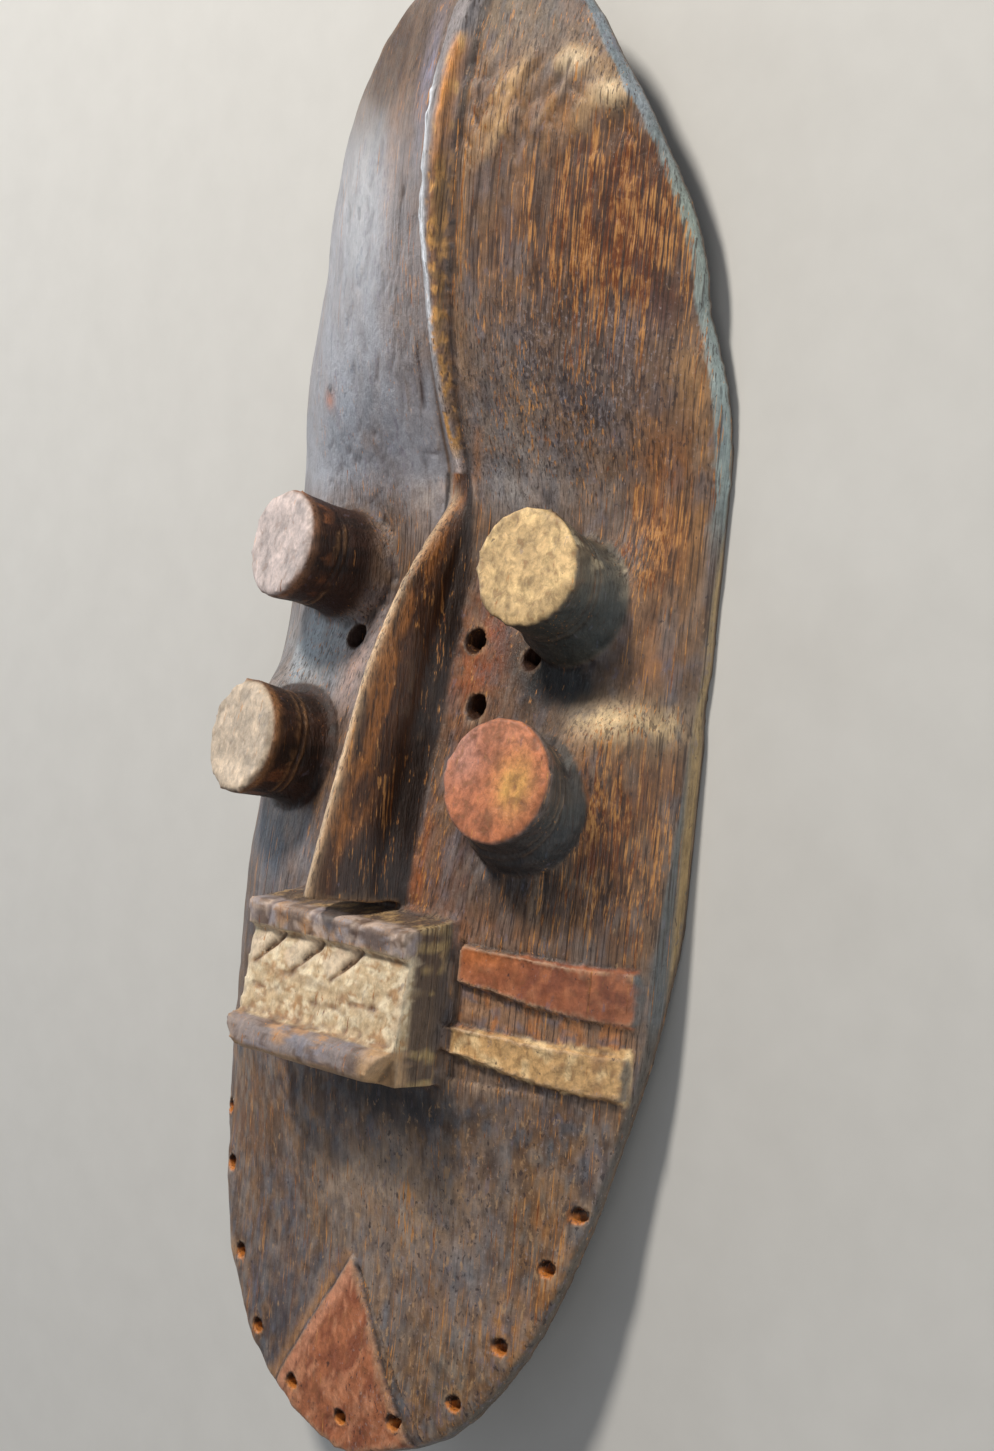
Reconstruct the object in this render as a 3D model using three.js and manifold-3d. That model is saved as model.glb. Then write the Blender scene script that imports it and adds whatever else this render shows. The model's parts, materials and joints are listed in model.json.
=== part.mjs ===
// Grebo mask, carved from one block of wood, lying on its back rim.
// Millimetres. +X is the wearer's left, +Y runs from chin to crown, +Z out of the face.
// The origin lies under the middle of the mask, on the plane that the back rim rests on.
import * as THREE from "three";
import { mergeVertices } from "three/addons/utils/BufferGeometryUtils.js";
import Module from "manifold-3d";

const wasm = await Module();
wasm.setup();

// Reach along the mask from the datum of its carved lines, before the chin is chipped
const CHIN_END = -335;
const CROWN_END = 332;

// Lines of the carving, each a short run of [place along Y, size] from chin to crown.
// Half width of the face at its front edge
const HALF_WIDTH = [
  [-332, 34], [-328, 40], [-322, 51], [-315, 58.5], [-308, 64], [-300, 70], [-289, 79], [-272, 90],
  [-256, 98.5], [-238, 105], [-220, 110.5], [-205, 115], [-165, 124.5], [-125, 128.5], [-60, 128],
  [40, 128.5], [94, 129], [140, 126.5], [175, 118.5], [216, 108], [257, 89.5], [285, 70], [300, 60],
  [317, 50], [332, 44],
];
// Height of the front edge of the rim
const RIM_FRONT = [
  [-332, 46], [-284, 42], [-225, 34], [-165, 24], [-125, 20.5], [-85, 19.5], [-46, 14.5],
  [0, 9.5], [54, 7], [94, 6.5], [135, 11], [195, 19], [236, 28], [277, 39], [332, 41],
];
// Height of the back edge of the rim, which rests on the ground between the jaw and the brow
const RIM_BACK = [
  [-332, 36], [-265, 30], [-205, 21], [-155, 13.5], [-125, 9], [-100, 4], [-80, 0],
  [115, 0], [140, 3], [175, 8.5], [216, 14], [257, 26], [297, 31], [332, 33],
];
// Height of the face along the middle, without crest and nose
const MIDLINE = [
  [-332, 46], [-300, 50], [-249, 49.5], [-200, 55], [-156, 60], [-91, 57], [-40, 49],
  [-4, 42], [35, 35], [62, 30], [84, 28.5], [101, 30.5], [122, 39], [149, 48.5],
  [180, 55], [215, 58.5], [251, 59.5], [290, 54], [315, 48], [332, 42],
];
// How boxy the face is across: low is a tent, high is a flat top with steep sides
const FULLNESS = [
  [-332, 2.2], [-200, 2.4], [-140, 3.2], [-60, 4], [0, 4.6], [60, 4], [120, 2.8],
  [200, 2.3], [332, 2.2],
];

// Shell and hollow back
const WALL = 14;
const RIM_LAND = 10;
const TIP_HALF_WIDTH = 4;
const END_ROUND = 34;
const END_WALL = 20;
const HOLLOW_END_ROUND = 60;
const EDGE_CHAMFER = 2.5;
const BACK_CHAMFER = 1;
// Share of the half width, inside the rim, over which the broad forms rise from nothing
const FORM_EDGE_FADE = 0.12;
// Smallest share of the half width that the hollow spans where it closes
const LEAST_HOLLOW = 0.3;

// Broad forms of the face: bumps and scoops, mirrored on both sides
const FORMS = [
  { x: 50, y: 52, sizeX: 24, sizeY: 30, height: -9 },
  { x: 104, y: 58, sizeX: 16, sizeY: 34, height: 5 },
  { x: 102, y: -14, sizeX: 18, sizeY: 20, height: 9 },
];
// The cheek stands proud of the eye hollow with a soft ledge at its upper edge
const LEDGE_Y = 9;
const LEDGE_SOFTNESS = 5;
const LEDGE_INNER_X = 66;
const LEDGE_INNER_FADE = 24;
const LEDGE_HEIGHT = 5;
const LEDGE_FADE = 70;

// Worn hollows in the outline, each on one side
const NOTCHES = [
  { side: 1, y: 173, depth: 2.4, spread: 9 },
  { side: -1, y: 196, depth: 2.4, spread: 8 },
  { side: 1, y: 12, depth: 1.5, spread: 7 },
  { side: 1, y: -168, depth: 2.5, spread: 34 },
];

// Crest keel along the middle of the forehead
const CREST_START = 99;
const CREST_END = 321;
const CREST_HALF_WIDTH = [[99, 1.5], [150, 3], [210, 4.5], [321, 4.5]];
const CREST_HEIGHT = [[99, 0.5], [122, 1.6], [150, 3], [182, 5], [215, 8.5], [250, 8.5], [300, 6], [321, 1]];
const CREST_SPLAY = 1.8;
const CREST_BEVEL = 1;

// Nose: a long straight wedge
const NOSE_TOP = 103;
const NOSE_BOTTOM = -85;
const NOSE_RIDGE = [[-85, 99], [-72, 97], [-29, 86.5], [17, 74.5], [55, 58], [73, 46], [90, 33], [103, 25]];
const NOSE_HALF_WIDTH = [[-85, 18.5], [-4, 15], [66, 11], [103, 7]];
const NOSE_RIDGE_HALF = 1.6;
const NOSE_SHOULDER_WIDTH = 0.56;
const NOSE_SHOULDER_HEIGHT = 0.62;

// Eyes: stubby round stalks with flat ends; centre of the flat end, and the direction that it faces
const EYES = [
  { x: -77.2, y: 66, z: 64.3, r: 25.4, out: -0.17, up: 0.2, face: [-0.17, 0.155], length: 42 },
  { x: 77.2, y: 66, z: 64.3, r: 25.4, out: 0.08, up: 0.36, face: [0.17, 0.155], length: 36 },
  { x: -81.5, y: -22.8, z: 74, r: 26.6, out: -0.16, up: 0.15, face: [-0.16, 0.155], length: 42 },
  { x: 81.5, y: -22.8, z: 74, r: 26.6, out: 0.3, up: 0.4, face: [0.16, 0.155], length: 28 },
];
const EYE_SIDES = 28;
const EYE_BURY = 26;
const EYE_CHAMFER = 1.5;
const EYE_WAIST = 0.95;
const EYE_FLARE = 1.1;
// Length over which the slant of the flat end dies away down the stalk
const EYE_LEAN = 14;

// Mouth block: side outline in the Y and Z directions, from the upper foot round to the lower one
const MOUTH_HALF_WIDTH = 50;
const MOUTH_OUTLINE = [
  [-85, 51], [-88, 60], [-91.5, 85], [-93, 87], [-103, 85], [-104, 82],
  [-142, 87], [-143.5, 93], [-146, 95], [-153, 96.5], [-156, 95], [-158, 86], [-159, 51],
];
const MOUTH_FRONT = 84;
const TEETH = 4;
const TOOTH_CUT_DEPTH = 3.5;
const TOOTH_CUT_TOP = -104;
const TOOTH_CUT_BOTTOM = -120;
const TOOTH_CUT_WIDTH = 4;
const TOOTH_CUT_SLANT = 14;
const TOOTH_CUT_SHIFT = -8;
// Corner worn off each end of the lower lip
const LIP_CORNER_TOP = -143;
const LIP_CORNER_BOTTOM = -165;
const LIP_CORNER = 16;

// Bars across the cheeks: lower and upper edge as [place across, Y] at both ends, and relief
const BARS = [
  { low: [[56, -112.5], [127, -121.4]], high: [[56, -97], [127, -98.6]], relief: 3 },
  { low: [[50, -142.5], [125, -152.9]], high: [[50, -131.5], [125, -134.1]], relief: 3.5 },
];

// Triangle on the chin
const CHIN_APEX = -246.5;
const CHIN_BASE = -334;
const CHIN_HALF_BASE = 59;
const CHIN_RELIEF = 2;

// Splinters broken off the left of the chin's edge
const CHIP = [
  [-44, -321], [-36, -323.5], [-31, -327.5], [-22, -328.5], [-16, -332], [-6, -333], [0, -336],
  [0, -345], [-60, -345],
];

// Holes bored straight through from the front
const SIGHT_RADIUS = 5.3;
const SIGHT_HOLES = [[22.5, 31], [55.6, 26.7], [33, 3.2]];
const TIE_RADIUS = 3.4;
const TIE_HOLES = [[0, -319], [33.5, -312], [64.5, -295], [85, -265], [102.5, -227.5]];
const EDGE_TIE_RADIUS = 3.1;
const EDGE_TIE_HOLE = [112.5, -203];
const HOLE_SIDES = 20;

// Depth by which a raised form is sunk into the face, and heights beyond the mask for cutting tools
const BURY = 5;
const BELOW = -10;
const ABOVE = 110;

// Fineness of the lofts
const BODY_STEPS = 40;
const TIP_STEPS = 5;
const FACE_STEPS = 24;
const BACK_STEPS = 14;
const CREST_STEPS = 26;
const NOSE_STEPS = 20;
const BAR_STEPS = 9;
const BAR_CROSS_STEPS = 3;
const CHIN_STEPS = 9;
const CHIN_CROSS_STEPS = 6;

// A smooth line through a run of [place, size] knots, flat beyond its ends.
function along(knots) {
  const slopes = knots.map((knot, i) => {
    const before = knots[Math.max(i - 1, 0)];
    const after = knots[Math.min(i + 1, knots.length - 1)];
    const turns = (knot[1] - before[1]) * (after[1] - knot[1]) <= 0;
    return turns ? 0 : (after[1] - before[1]) / (after[0] - before[0]);
  });
  return (y) => {
    if (y <= knots[0][0]) return knots[0][1];
    const last = knots.length - 1;
    if (y >= knots[last][0]) return knots[last][1];
    const i = knots.findIndex((knot) => knot[0] > y) - 1;
    const span = knots[i + 1][0] - knots[i][0];
    const t = (y - knots[i][0]) / span;
    const rise = t * t * (3 - 2 * t);
    return knots[i][1] * (1 - rise) + knots[i + 1][1] * rise
      + span * t * (1 - t) * ((1 - t) * slopes[i] - t * slopes[i + 1]);
  };
}

const widthAt = along(HALF_WIDTH);
const rimFrontAt = along(RIM_FRONT);
const rimBackAt = along(RIM_BACK);
const midlineAt = along(MIDLINE);
const fullnessAt = along(FULLNESS);
const smoothstep = (t) => THREE.MathUtils.smoothstep(t, 0, 1);

// 1 along the mask's body, rounding down to 0 at a tip that lies inside the mask's own by a margin.
function endRound(y, margin, round) {
  const left = Math.min(CROWN_END - y, y - CHIN_END) - margin;
  const into = Math.min(1, Math.max(0, 1 - left / round));
  return Math.sqrt(1 - into * into);
}

// Half width of the face on one side at y, with its notches.
function outlineAt(y, side) {
  let half = widthAt(y) * endRound(y, 0, END_ROUND);
  for (const notch of NOTCHES) {
    if (notch.side !== side) continue;
    half -= notch.depth * Math.exp(-(((y - notch.y) / notch.spread) ** 2));
  }
  return Math.max(half, TIP_HALF_WIDTH);
}

// Height that the bumps, scoops and cheek ledge add to the face.
function formsAt(x, y) {
  const across = Math.abs(x);
  let height = 0;
  for (const form of FORMS) {
    const dx = (across - form.x) / form.sizeX;
    const dy = (y - form.y) / form.sizeY;
    height += form.height * Math.exp(-dx * dx - dy * dy);
  }
  const inside = smoothstep((across - LEDGE_INNER_X) / LEDGE_INNER_FADE);
  const below = 1 / (1 + Math.exp((y - LEDGE_Y) / LEDGE_SOFTNESS));
  const fade = 1 - smoothstep((LEDGE_Y - y) / LEDGE_FADE);
  return height + LEDGE_HEIGHT * inside * below * fade;
}

// Height of the face surface.
function surfaceAt(x, y) {
  const half = outlineAt(y, Math.sign(x) || 1);
  const t = Math.min(Math.abs(x) / half, 1);
  const dome = 1 - t ** fullnessAt(y);
  const rim = rimFrontAt(y);
  const edgeFade = smoothstep((1 - t) / FORM_EDGE_FADE);
  return rim + (midlineAt(y) - rim) * dome + formsAt(x, y) * edgeFade;
}

// Height of the hollow back, where t runs across it from -1 to 1.
function hollowAt(x, t, y) {
  const base = rimBackAt(y);
  const closed = endRound(y, END_WALL, HOLLOW_END_ROUND);
  const dome = 1 - Math.abs(t) ** fullnessAt(y);
  const crown = Math.max(midlineAt(y) - WALL - base, 0);
  const forms = formsAt(x, y) * smoothstep(dome);
  return base + Math.max(0, (crown * dome + forms) * closed);
}

// A closed mesh from a run of equal rings, each end closed by a ladder of triangles across its ring.
function loft(rings) {
  const size = rings[0].length;
  const index = [];
  for (let i = 0; i < rings.length - 1; i++) {
    for (let j = 0; j < size; j++) {
      const a = i * size + j;
      const b = i * size + ((j + 1) % size);
      index.push(a, b, b + size, a, b + size, a + size);
    }
  }
  const close = (a, b, c, flip) => index.push(...(flip ? [c, b, a] : [a, b, c]));
  for (const [start, flip] of [[0, true], [(rings.length - 1) * size, false]]) {
    let low = start;
    let high = start + size - 1;
    while (low + 1 < high) {
      close(low, low + 1, high, flip);
      low += 1;
      if (low + 1 < high) close(low, high - 1, high, flip);
      high -= 1;
    }
  }
  const geometry = new THREE.BufferGeometry();
  geometry.setAttribute("position", new THREE.Float32BufferAttribute(rings.flat(2), 3));
  geometry.setIndex(index);
  return geometry;
}

// A geometry as a solid, turned right side out.
function solid(geometry) {
  const bare = geometry.clone();
  bare.deleteAttribute("normal");
  bare.deleteAttribute("uv");
  const merged = mergeVertices(bare, 1e-4);
  const build = (triVerts) => new wasm.Manifold(new wasm.Mesh({
    numProp: 3,
    vertProperties: merged.attributes.position.array,
    triVerts,
  }));
  const triVerts = new Uint32Array(merged.index.array);
  const made = build(triVerts);
  if (made.volume() > 0) return made;
  for (let i = 0; i < triVerts.length; i += 3) {
    [triVerts[i + 1], triVerts[i + 2]] = [triVerts[i + 2], triVerts[i + 1]];
  }
  return build(triVerts);
}

function geometryOf(made) {
  const mesh = made.getMesh();
  const geometry = new THREE.BufferGeometry();
  geometry.setAttribute("position", new THREE.BufferAttribute(mesh.vertProperties, 3));
  geometry.setIndex(new THREE.BufferAttribute(mesh.triVerts, 1));
  geometry.computeVertexNormals();
  return geometry;
}

// Evenly spread places from one end to the other.
function spread(from, to, count) {
  return Array.from({ length: count + 1 }, (_, i) => from + ((to - from) * i) / count);
}

// Places from one end to the other, closer together towards the two ends.
function closerAtEnds(from, to, count) {
  return spread(from, to, count).map((s) => (Math.sin((s * Math.PI) / 2) + s) / 2);
}

// Places from tip to tip, closer together towards the two tips.
function stations() {
  const body = spread(CHIN_END + END_ROUND, CROWN_END - END_ROUND, BODY_STEPS);
  const closer = spread(0, 1, TIP_STEPS).slice(1).map((t) => END_ROUND * (1 - t) ** 2);
  return [
    ...closer.map((inside) => CHIN_END + inside).reverse(),
    ...body,
    ...closer.map((inside) => CROWN_END - inside),
  ];
}

// One slice across the shell: over the face, down the edge, and back along the hollow.
function shellRing(y) {
  const right = outlineAt(y, 1);
  const left = outlineAt(y, -1);
  const front = rimFrontAt(y);
  const back = rimBackAt(y);
  const round = Math.min(EDGE_CHAMFER, 0.3 * right);
  const ring = [];
  for (const t of closerAtEnds(-1, 1, FACE_STEPS)) {
    const x = t * (t < 0 ? left : right);
    ring.push([x, y, surfaceAt(x, y)]);
  }
  ring.push([right + round, y, front - round]);
  ring.push([right + round, y, back + BACK_CHAMFER]);
  ring.push([right + round - BACK_CHAMFER, y, back]);
  const hollow = (1 - RIM_LAND / right) * endRound(y, END_WALL, HOLLOW_END_ROUND);
  const share = Math.max(hollow, LEAST_HOLLOW);
  for (const t of closerAtEnds(1, -1, BACK_STEPS)) {
    const x = t * share * (t < 0 ? left : right);
    ring.push([x, y, hollow < LEAST_HOLLOW ? back : hollowAt(x, t, y)]);
  }
  ring.push([-left - round + BACK_CHAMFER, y, back]);
  ring.push([-left - round, y, back + BACK_CHAMFER]);
  ring.push([-left - round, y, front - round]);
  return ring;
}

function makeShell() {
  return solid(loft(stations().map(shellRing)));
}

const mirrored = ([x, y, z]) => [-x, y, z];

function makeCrest() {
  const halfAt = along(CREST_HALF_WIDTH);
  const heightAt = along(CREST_HEIGHT);
  const rings = spread(CREST_START, CREST_END, CREST_STEPS).map((y) => {
    const half = halfAt(y);
    const foot = surfaceAt(0, y);
    const top = foot + heightAt(y);
    const base = half + CREST_SPLAY * (1 + BURY / (top - foot + 1));
    const side = [[half - CREST_BEVEL, y, top], [half, y, top - CREST_BEVEL], [base, y, foot - BURY]];
    return [...side.map(mirrored).reverse(), ...side];
  });
  return solid(loft(rings));
}

function makeNose() {
  const ridgeAt = along(NOSE_RIDGE);
  const halfAt = along(NOSE_HALF_WIDTH);
  const rings = spread(NOSE_BOTTOM, NOSE_TOP, NOSE_STEPS).map((y) => {
    const half = halfAt(y);
    const foot = surfaceAt(half, y);
    const ridge = Math.max(ridgeAt(y), foot + 0.5);
    const shoulder = foot + (ridge - foot) * NOSE_SHOULDER_HEIGHT;
    const waist = half * NOSE_SHOULDER_WIDTH;
    const splay = Math.min((half - waist) / (shoulder - foot), 1);
    const side = [[NOSE_RIDGE_HALF, y, ridge], [waist, y, shoulder], [half + splay * BURY, y, foot - BURY]];
    return [...side.map(mirrored).reverse(), ...side];
  });
  return solid(loft(rings));
}

// A round stalk whose flat end sits at the eye's centre, flaring a little into the face.
function makeEye(eye) {
  const axis = new THREE.Vector3(eye.out, eye.up, 1).normalize();
  const facing = new THREE.Vector3(eye.face[0], eye.face[1], 1).normalize();
  const centre = new THREE.Vector3(eye.x, eye.y, eye.z);
  const turn = new THREE.Quaternion().setFromUnitVectors(new THREE.Vector3(0, 0, 1), axis);
  const steps = [
    [0, eye.r - EYE_CHAMFER], [EYE_CHAMFER, eye.r], [0.35 * eye.length, eye.r * EYE_WAIST],
    [0.7 * eye.length, eye.r * EYE_WAIST], [0.9 * eye.length, eye.r], [eye.length, eye.r * EYE_FLARE],
    [eye.length + EYE_BURY, eye.r * EYE_FLARE],
  ];
  const rings = steps.map(([down, r]) => spread(0, 2 * Math.PI, EYE_SIDES).slice(0, EYE_SIDES).map((a) => {
    const point = new THREE.Vector3(r * Math.cos(a), r * Math.sin(a), 0).applyQuaternion(turn).add(centre);
    const slope = -facing.dot(point.clone().sub(centre)) / facing.dot(axis);
    const end = point.clone().addScaledVector(axis, slope);
    const lean = Math.max(0, 1 - down / EYE_LEAN);
    return point.lerp(end, lean).addScaledVector(axis, -down).toArray();
  }));
  return solid(loft(rings));
}

// An outline in X and Y, raised from one height to another.
function prism(outline, low, high) {
  const shape = new THREE.Shape(outline.map(([x, y]) => new THREE.Vector2(x, y)));
  const geometry = new THREE.ExtrudeGeometry(shape, { depth: high - low, bevelEnabled: false });
  return solid(geometry.translate(0, 0, low));
}

// The mouth block with its lips and the notches between the teeth.
function makeMouth() {
  const shape = new THREE.Shape(MOUTH_OUTLINE.map(([y, z]) => new THREE.Vector2(y, z)));
  const bar = new THREE.ExtrudeGeometry(shape, { depth: 2 * MOUTH_HALF_WIDTH, bevelEnabled: false });
  // The outline's Y and Z become the mask's, and the depth runs across the face.
  bar.applyMatrix4(new THREE.Matrix4().set(0, 0, 1, -MOUTH_HALF_WIDTH, 1, 0, 0, 0, 0, 1, 0, 0, 0, 0, 0, 1));
  let block = solid(bar);
  const pitch = (2 * MOUTH_HALF_WIDTH) / TEETH;
  for (let i = 1; i < TEETH; i++) {
    const x = -MOUTH_HALF_WIDTH + i * pitch + TOOTH_CUT_SHIFT;
    const cut = [
      [x, TOOTH_CUT_TOP],
      [x + TOOTH_CUT_WIDTH, TOOTH_CUT_TOP],
      [x + TOOTH_CUT_WIDTH, TOOTH_CUT_TOP - TOOTH_CUT_WIDTH],
      [x - TOOTH_CUT_SLANT, TOOTH_CUT_BOTTOM],
    ];
    block = block.subtract(prism(cut, MOUTH_FRONT - TOOTH_CUT_DEPTH, ABOVE));
  }
  for (const side of [-1, 1]) {
    const edge = side * (MOUTH_HALF_WIDTH + 1);
    const corner = [
      [edge, LIP_CORNER_TOP],
      [edge, LIP_CORNER_BOTTOM],
      [edge - side * LIP_CORNER, LIP_CORNER_BOTTOM],
    ];
    block = block.subtract(prism(corner, MOUTH_FRONT, ABOVE));
  }
  return block;
}

// A patch of the face, given as lines of places on it, standing proud by its relief.
function raisedPatch(lines, relief) {
  const rings = lines.map((places) => {
    const top = places.map(([x, y]) => [x, y, surfaceAt(x, y) + relief]);
    const low = places.map(([x, y]) => [x, y, surfaceAt(x, y) - BURY]).reverse();
    return [...top, ...low];
  });
  return solid(loft(rings));
}

function makeBar(bar, side) {
  const lowAt = along(bar.low);
  const highAt = along(bar.high);
  const lines = spread(bar.low[0][0], bar.low[1][0], BAR_STEPS).map((across) =>
    spread(lowAt(across), highAt(across), BAR_CROSS_STEPS).map((y) => [side * across, y]));
  return raisedPatch(lines, bar.relief);
}

function makeChinTriangle() {
  const lines = spread(CHIN_BASE, CHIN_APEX, CHIN_STEPS).map((y) => {
    const share = (CHIN_APEX - y) / (CHIN_APEX - CHIN_BASE);
    const half = Math.min(0.6 + CHIN_HALF_BASE * share, outlineAt(y, 1) - 0.5);
    return spread(-half, half, CHIN_CROSS_STEPS).map((x) => [x, y]);
  });
  return raisedPatch(lines, CHIN_RELIEF);
}

function makeHole([x, y], radius) {
  const ring = spread(0, 2 * Math.PI, HOLE_SIDES).slice(0, HOLE_SIDES);
  return prism(ring.map((a) => [x + radius * Math.cos(a), y + radius * Math.sin(a)]), BELOW, ABOVE);
}

function carveMask() {
  let mask = makeShell().add(makeCrest()).add(makeNose()).add(makeMouth()).add(makeChinTriangle());
  for (const eye of EYES) mask = mask.add(trimBehind(makeEye(eye)));
  for (const bar of BARS) mask = mask.add(makeBar(bar, -1)).add(makeBar(bar, 1));
  for (const side of [-1, 1]) {
    for (const [x, y] of SIGHT_HOLES) mask = mask.subtract(makeHole([side * x, y], SIGHT_RADIUS));
    for (const [x, y] of TIE_HOLES) {
      if (x > 0 || side > 0) mask = mask.subtract(makeHole([side * x, y], TIE_RADIUS));
    }
    mask = mask.subtract(makeHole([side * EDGE_TIE_HOLE[0], EDGE_TIE_HOLE[1]], EDGE_TIE_RADIUS));
  }
  return mask.subtract(prism(CHIP, BELOW, ABOVE));
}

// What of a stalk would come out inside the hollow is cut away.
function trimBehind(made) {
  const rings = stations().map((y) => {
    const half = outlineAt(y, 1);
    const top = spread(-half, half, FACE_STEPS).map((x) => [x, y, surfaceAt(x, y) - BURY]);
    return [...top, [half, y, -ABOVE], [-half, y, -ABOVE]];
  });
  return made.subtract(solid(loft(rings)));
}

const mask = new THREE.Mesh(
  geometryOf(carveMask()),
  new THREE.MeshStandardMaterial({ color: 0x5a4636, roughness: 0.62, metalness: 0 }),
);
mask.name = "mask";

// The mask is moved so that the origin lies under the middle of its width and length.
const middle = new THREE.Box3().setFromObject(mask).getCenter(new THREE.Vector3());
mask.position.set(-middle.x, -middle.y, 0);

const group = new THREE.Group();
group.add(mask);

export default group;
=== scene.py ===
"""Grebo mask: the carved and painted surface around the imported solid, on a pale floor.

Carved lines are in millimetres from the mask's datum, as the solid's own are: X across to the
wearer's left, Y from the chin to the crown, Z out of the face.
"""

import json

import bpy
import numpy as np
from mathutils import Matrix, Vector
from mathutils.bvhtree import BVHTree

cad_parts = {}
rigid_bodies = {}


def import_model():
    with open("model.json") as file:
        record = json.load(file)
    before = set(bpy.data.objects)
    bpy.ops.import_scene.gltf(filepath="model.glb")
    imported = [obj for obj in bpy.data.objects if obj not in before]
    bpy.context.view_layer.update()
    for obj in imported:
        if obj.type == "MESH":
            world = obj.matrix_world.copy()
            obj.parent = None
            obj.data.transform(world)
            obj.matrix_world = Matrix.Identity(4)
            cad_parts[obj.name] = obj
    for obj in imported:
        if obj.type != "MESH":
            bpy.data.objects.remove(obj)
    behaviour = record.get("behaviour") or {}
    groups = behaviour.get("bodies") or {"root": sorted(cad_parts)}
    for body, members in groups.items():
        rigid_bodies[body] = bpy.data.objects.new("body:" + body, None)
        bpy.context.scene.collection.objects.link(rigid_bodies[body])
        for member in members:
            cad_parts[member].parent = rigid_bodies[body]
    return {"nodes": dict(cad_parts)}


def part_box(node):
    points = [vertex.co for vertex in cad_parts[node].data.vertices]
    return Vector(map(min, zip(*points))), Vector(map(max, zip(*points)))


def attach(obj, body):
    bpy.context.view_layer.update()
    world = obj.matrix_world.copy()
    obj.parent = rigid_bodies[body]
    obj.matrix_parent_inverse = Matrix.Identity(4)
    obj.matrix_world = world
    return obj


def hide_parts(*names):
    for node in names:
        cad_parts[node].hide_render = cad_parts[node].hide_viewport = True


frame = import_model()

bl_info = {
    "name": "Grebo Mask",
    "version": (1, 0, 0),
    "blender": (4, 5, 0),
    "location": "3D View > Sidebar > Grebo Mask",
    "description": "Carves and paints the grebo mask around its packed solid",
    "category": "Object",
}

LATTICE_ORDER = np.random.default_rng(17).permutation(256)
LATTICE_HEIGHTS = np.random.default_rng(19).uniform(-1, 1, 256)

MM = 0.001

# The photograph's frame and lens, in pixels
PHOTO_HEIGHT_PX = 1451
PHOTO_FOCAL_PX = 2700
SENSOR_MM = 36.0

# Where the chin ends on the carving's datum; the solid's box gives where that is in the frame
CHIN_END = -335.0
CHIN_IN_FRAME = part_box("mask")[0].y / MM

# Stalk eyes: middle of the flat end, radius, axis and the way that the end faces
EYES = {
    "upper_right": ((-77.2, 66.0, 64.3), 25.4, (-0.17, 0.20, 1), (-0.17, 0.155, 1)),
    "upper_left": ((77.2, 66.0, 64.3), 25.4, (0.08, 0.36, 1), (0.17, 0.155, 1)),
    "lower_right": ((-81.5, -22.8, 74.0), 26.6, (-0.16, 0.15, 1), (-0.16, 0.155, 1)),
    "lower_left": ((81.5, -22.8, 74.0), 26.6, (0.30, 0.40, 1), (0.16, 0.155, 1)),
}
STALK_LENGTH = 40.0
# How far below the flat ends the stalks' cut grooves and painted rings lie
STALK_GROOVES = (17.5, 21.0)
STALK_RINGS = (15.5, 19.5)

# Bored holes of the wearer's left, their radii, and how high above the back they end
SIGHT_HOLES = [(22.5, 31.0), (55.6, 26.7), (33.0, 3.2)]
TIE_HOLES = [(0, -319), (33.5, -312), (64.5, -295), (85, -265), (102.5, -227.5), (112.5, -203)]
SIGHT_RADIUS = 5.3
TIE_RADIUS = 3.4
HOLES_BELOW = 62

NOSE_BOTTOM = -85.0
NOSE_TOP = 103.0
CREST_START = 99.0
CREST_END = 321.0
# Where chisel ticks cross the gutter beside the keel
TICKED = (128, 240)
MOUTH_HALF_WIDTH = 50.0
CHIN_APEX = -246.5
CHIN_HALF_BASE = 59.0
# The triangle is narrower on the wearer's left than on the right, where the solid's is even
CHIN_LEFT_HALF_BASE = 50.0
CHIN_RELIEF = 2.0

# The bars on the wearer's right stop short of the edge, where the solid's own go on:
# [where the bar starts and ends across], its lower edge there, its upper edge there, and its relief
RIGHT_BARS_END = 80.0
SUNK_BARS = [
    ([56, 127], [-112.5, -121.4], [-97, -98.6], 3.0),
    ([50, 125], [-142.5, -152.9], [-131.5, -134.1], 3.5),
]

# Share of the triangles that stay on the hollow back
BACK_SHARE = 0.25

# The outline is read in rows from the chin's end, and its ends lie past these heights
ROW_HEIGHT = 4.0
ROWS = 171
RIM_BELOW = -322
RIM_ABOVE = 321

# Creases in the kaolin between the lips, the slanting edges of the teeth, and the lips' nicks
MOUTH_CREASES = [
    [(-26, -121.5), (-14, -122), (2, -124)],
    [(-6, -131), (6, -130.5), (16, -132.5)],
    [(12, -126), (24, -127.5), (34, -127)],
    [(-44, -129), (-36, -130), (-28, -129)],
]
TOOTH_EDGES = [((-29, -104.5), (-46, -119)), ((-4, -104.5), (-21, -119)), ((21, -104.5), (4, -119))]
LIP_NICKS_ABOVE = (-36, -8, 20)
LIP_NICKS_BELOW = (-40, 3)
NICK_LEAN = 0.35
NICK_MIDDLE = -96

# Dents and creases of the knife: depth, count, middle, spread, lengths, widths, lean and seed
KNIFE_CUTS = [
    (0.55, 34, (-62, 214), (22, 34), (8, 22), (1.4, 2.6), 8, 301),
    (0.5, 26, (-48, 106), (24, 9), (6, 16), (1.2, 2.0), 55, 302),
    (0.5, 22, (-24, 160), (12, 34), (10, 30), (1.0, 1.8), 3, 303),
    (0.8, 34, (42, 256), (22, 12), (10, 26), (1.4, 2.8), -42, 304),
    (0.55, 60, (80, 180), (24, 40), (12, 34), (1.0, 1.8), -3, 305),
    (0.5, 60, (0, -225), (60, 40), (8, 24), (1.0, 1.8), 0, 306),
    (0.6, 14, (114, 0), (5, 9), (12, 30), (0.9, 1.5), 4, 307),
]
CUTS_IN_WASH = 3

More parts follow.
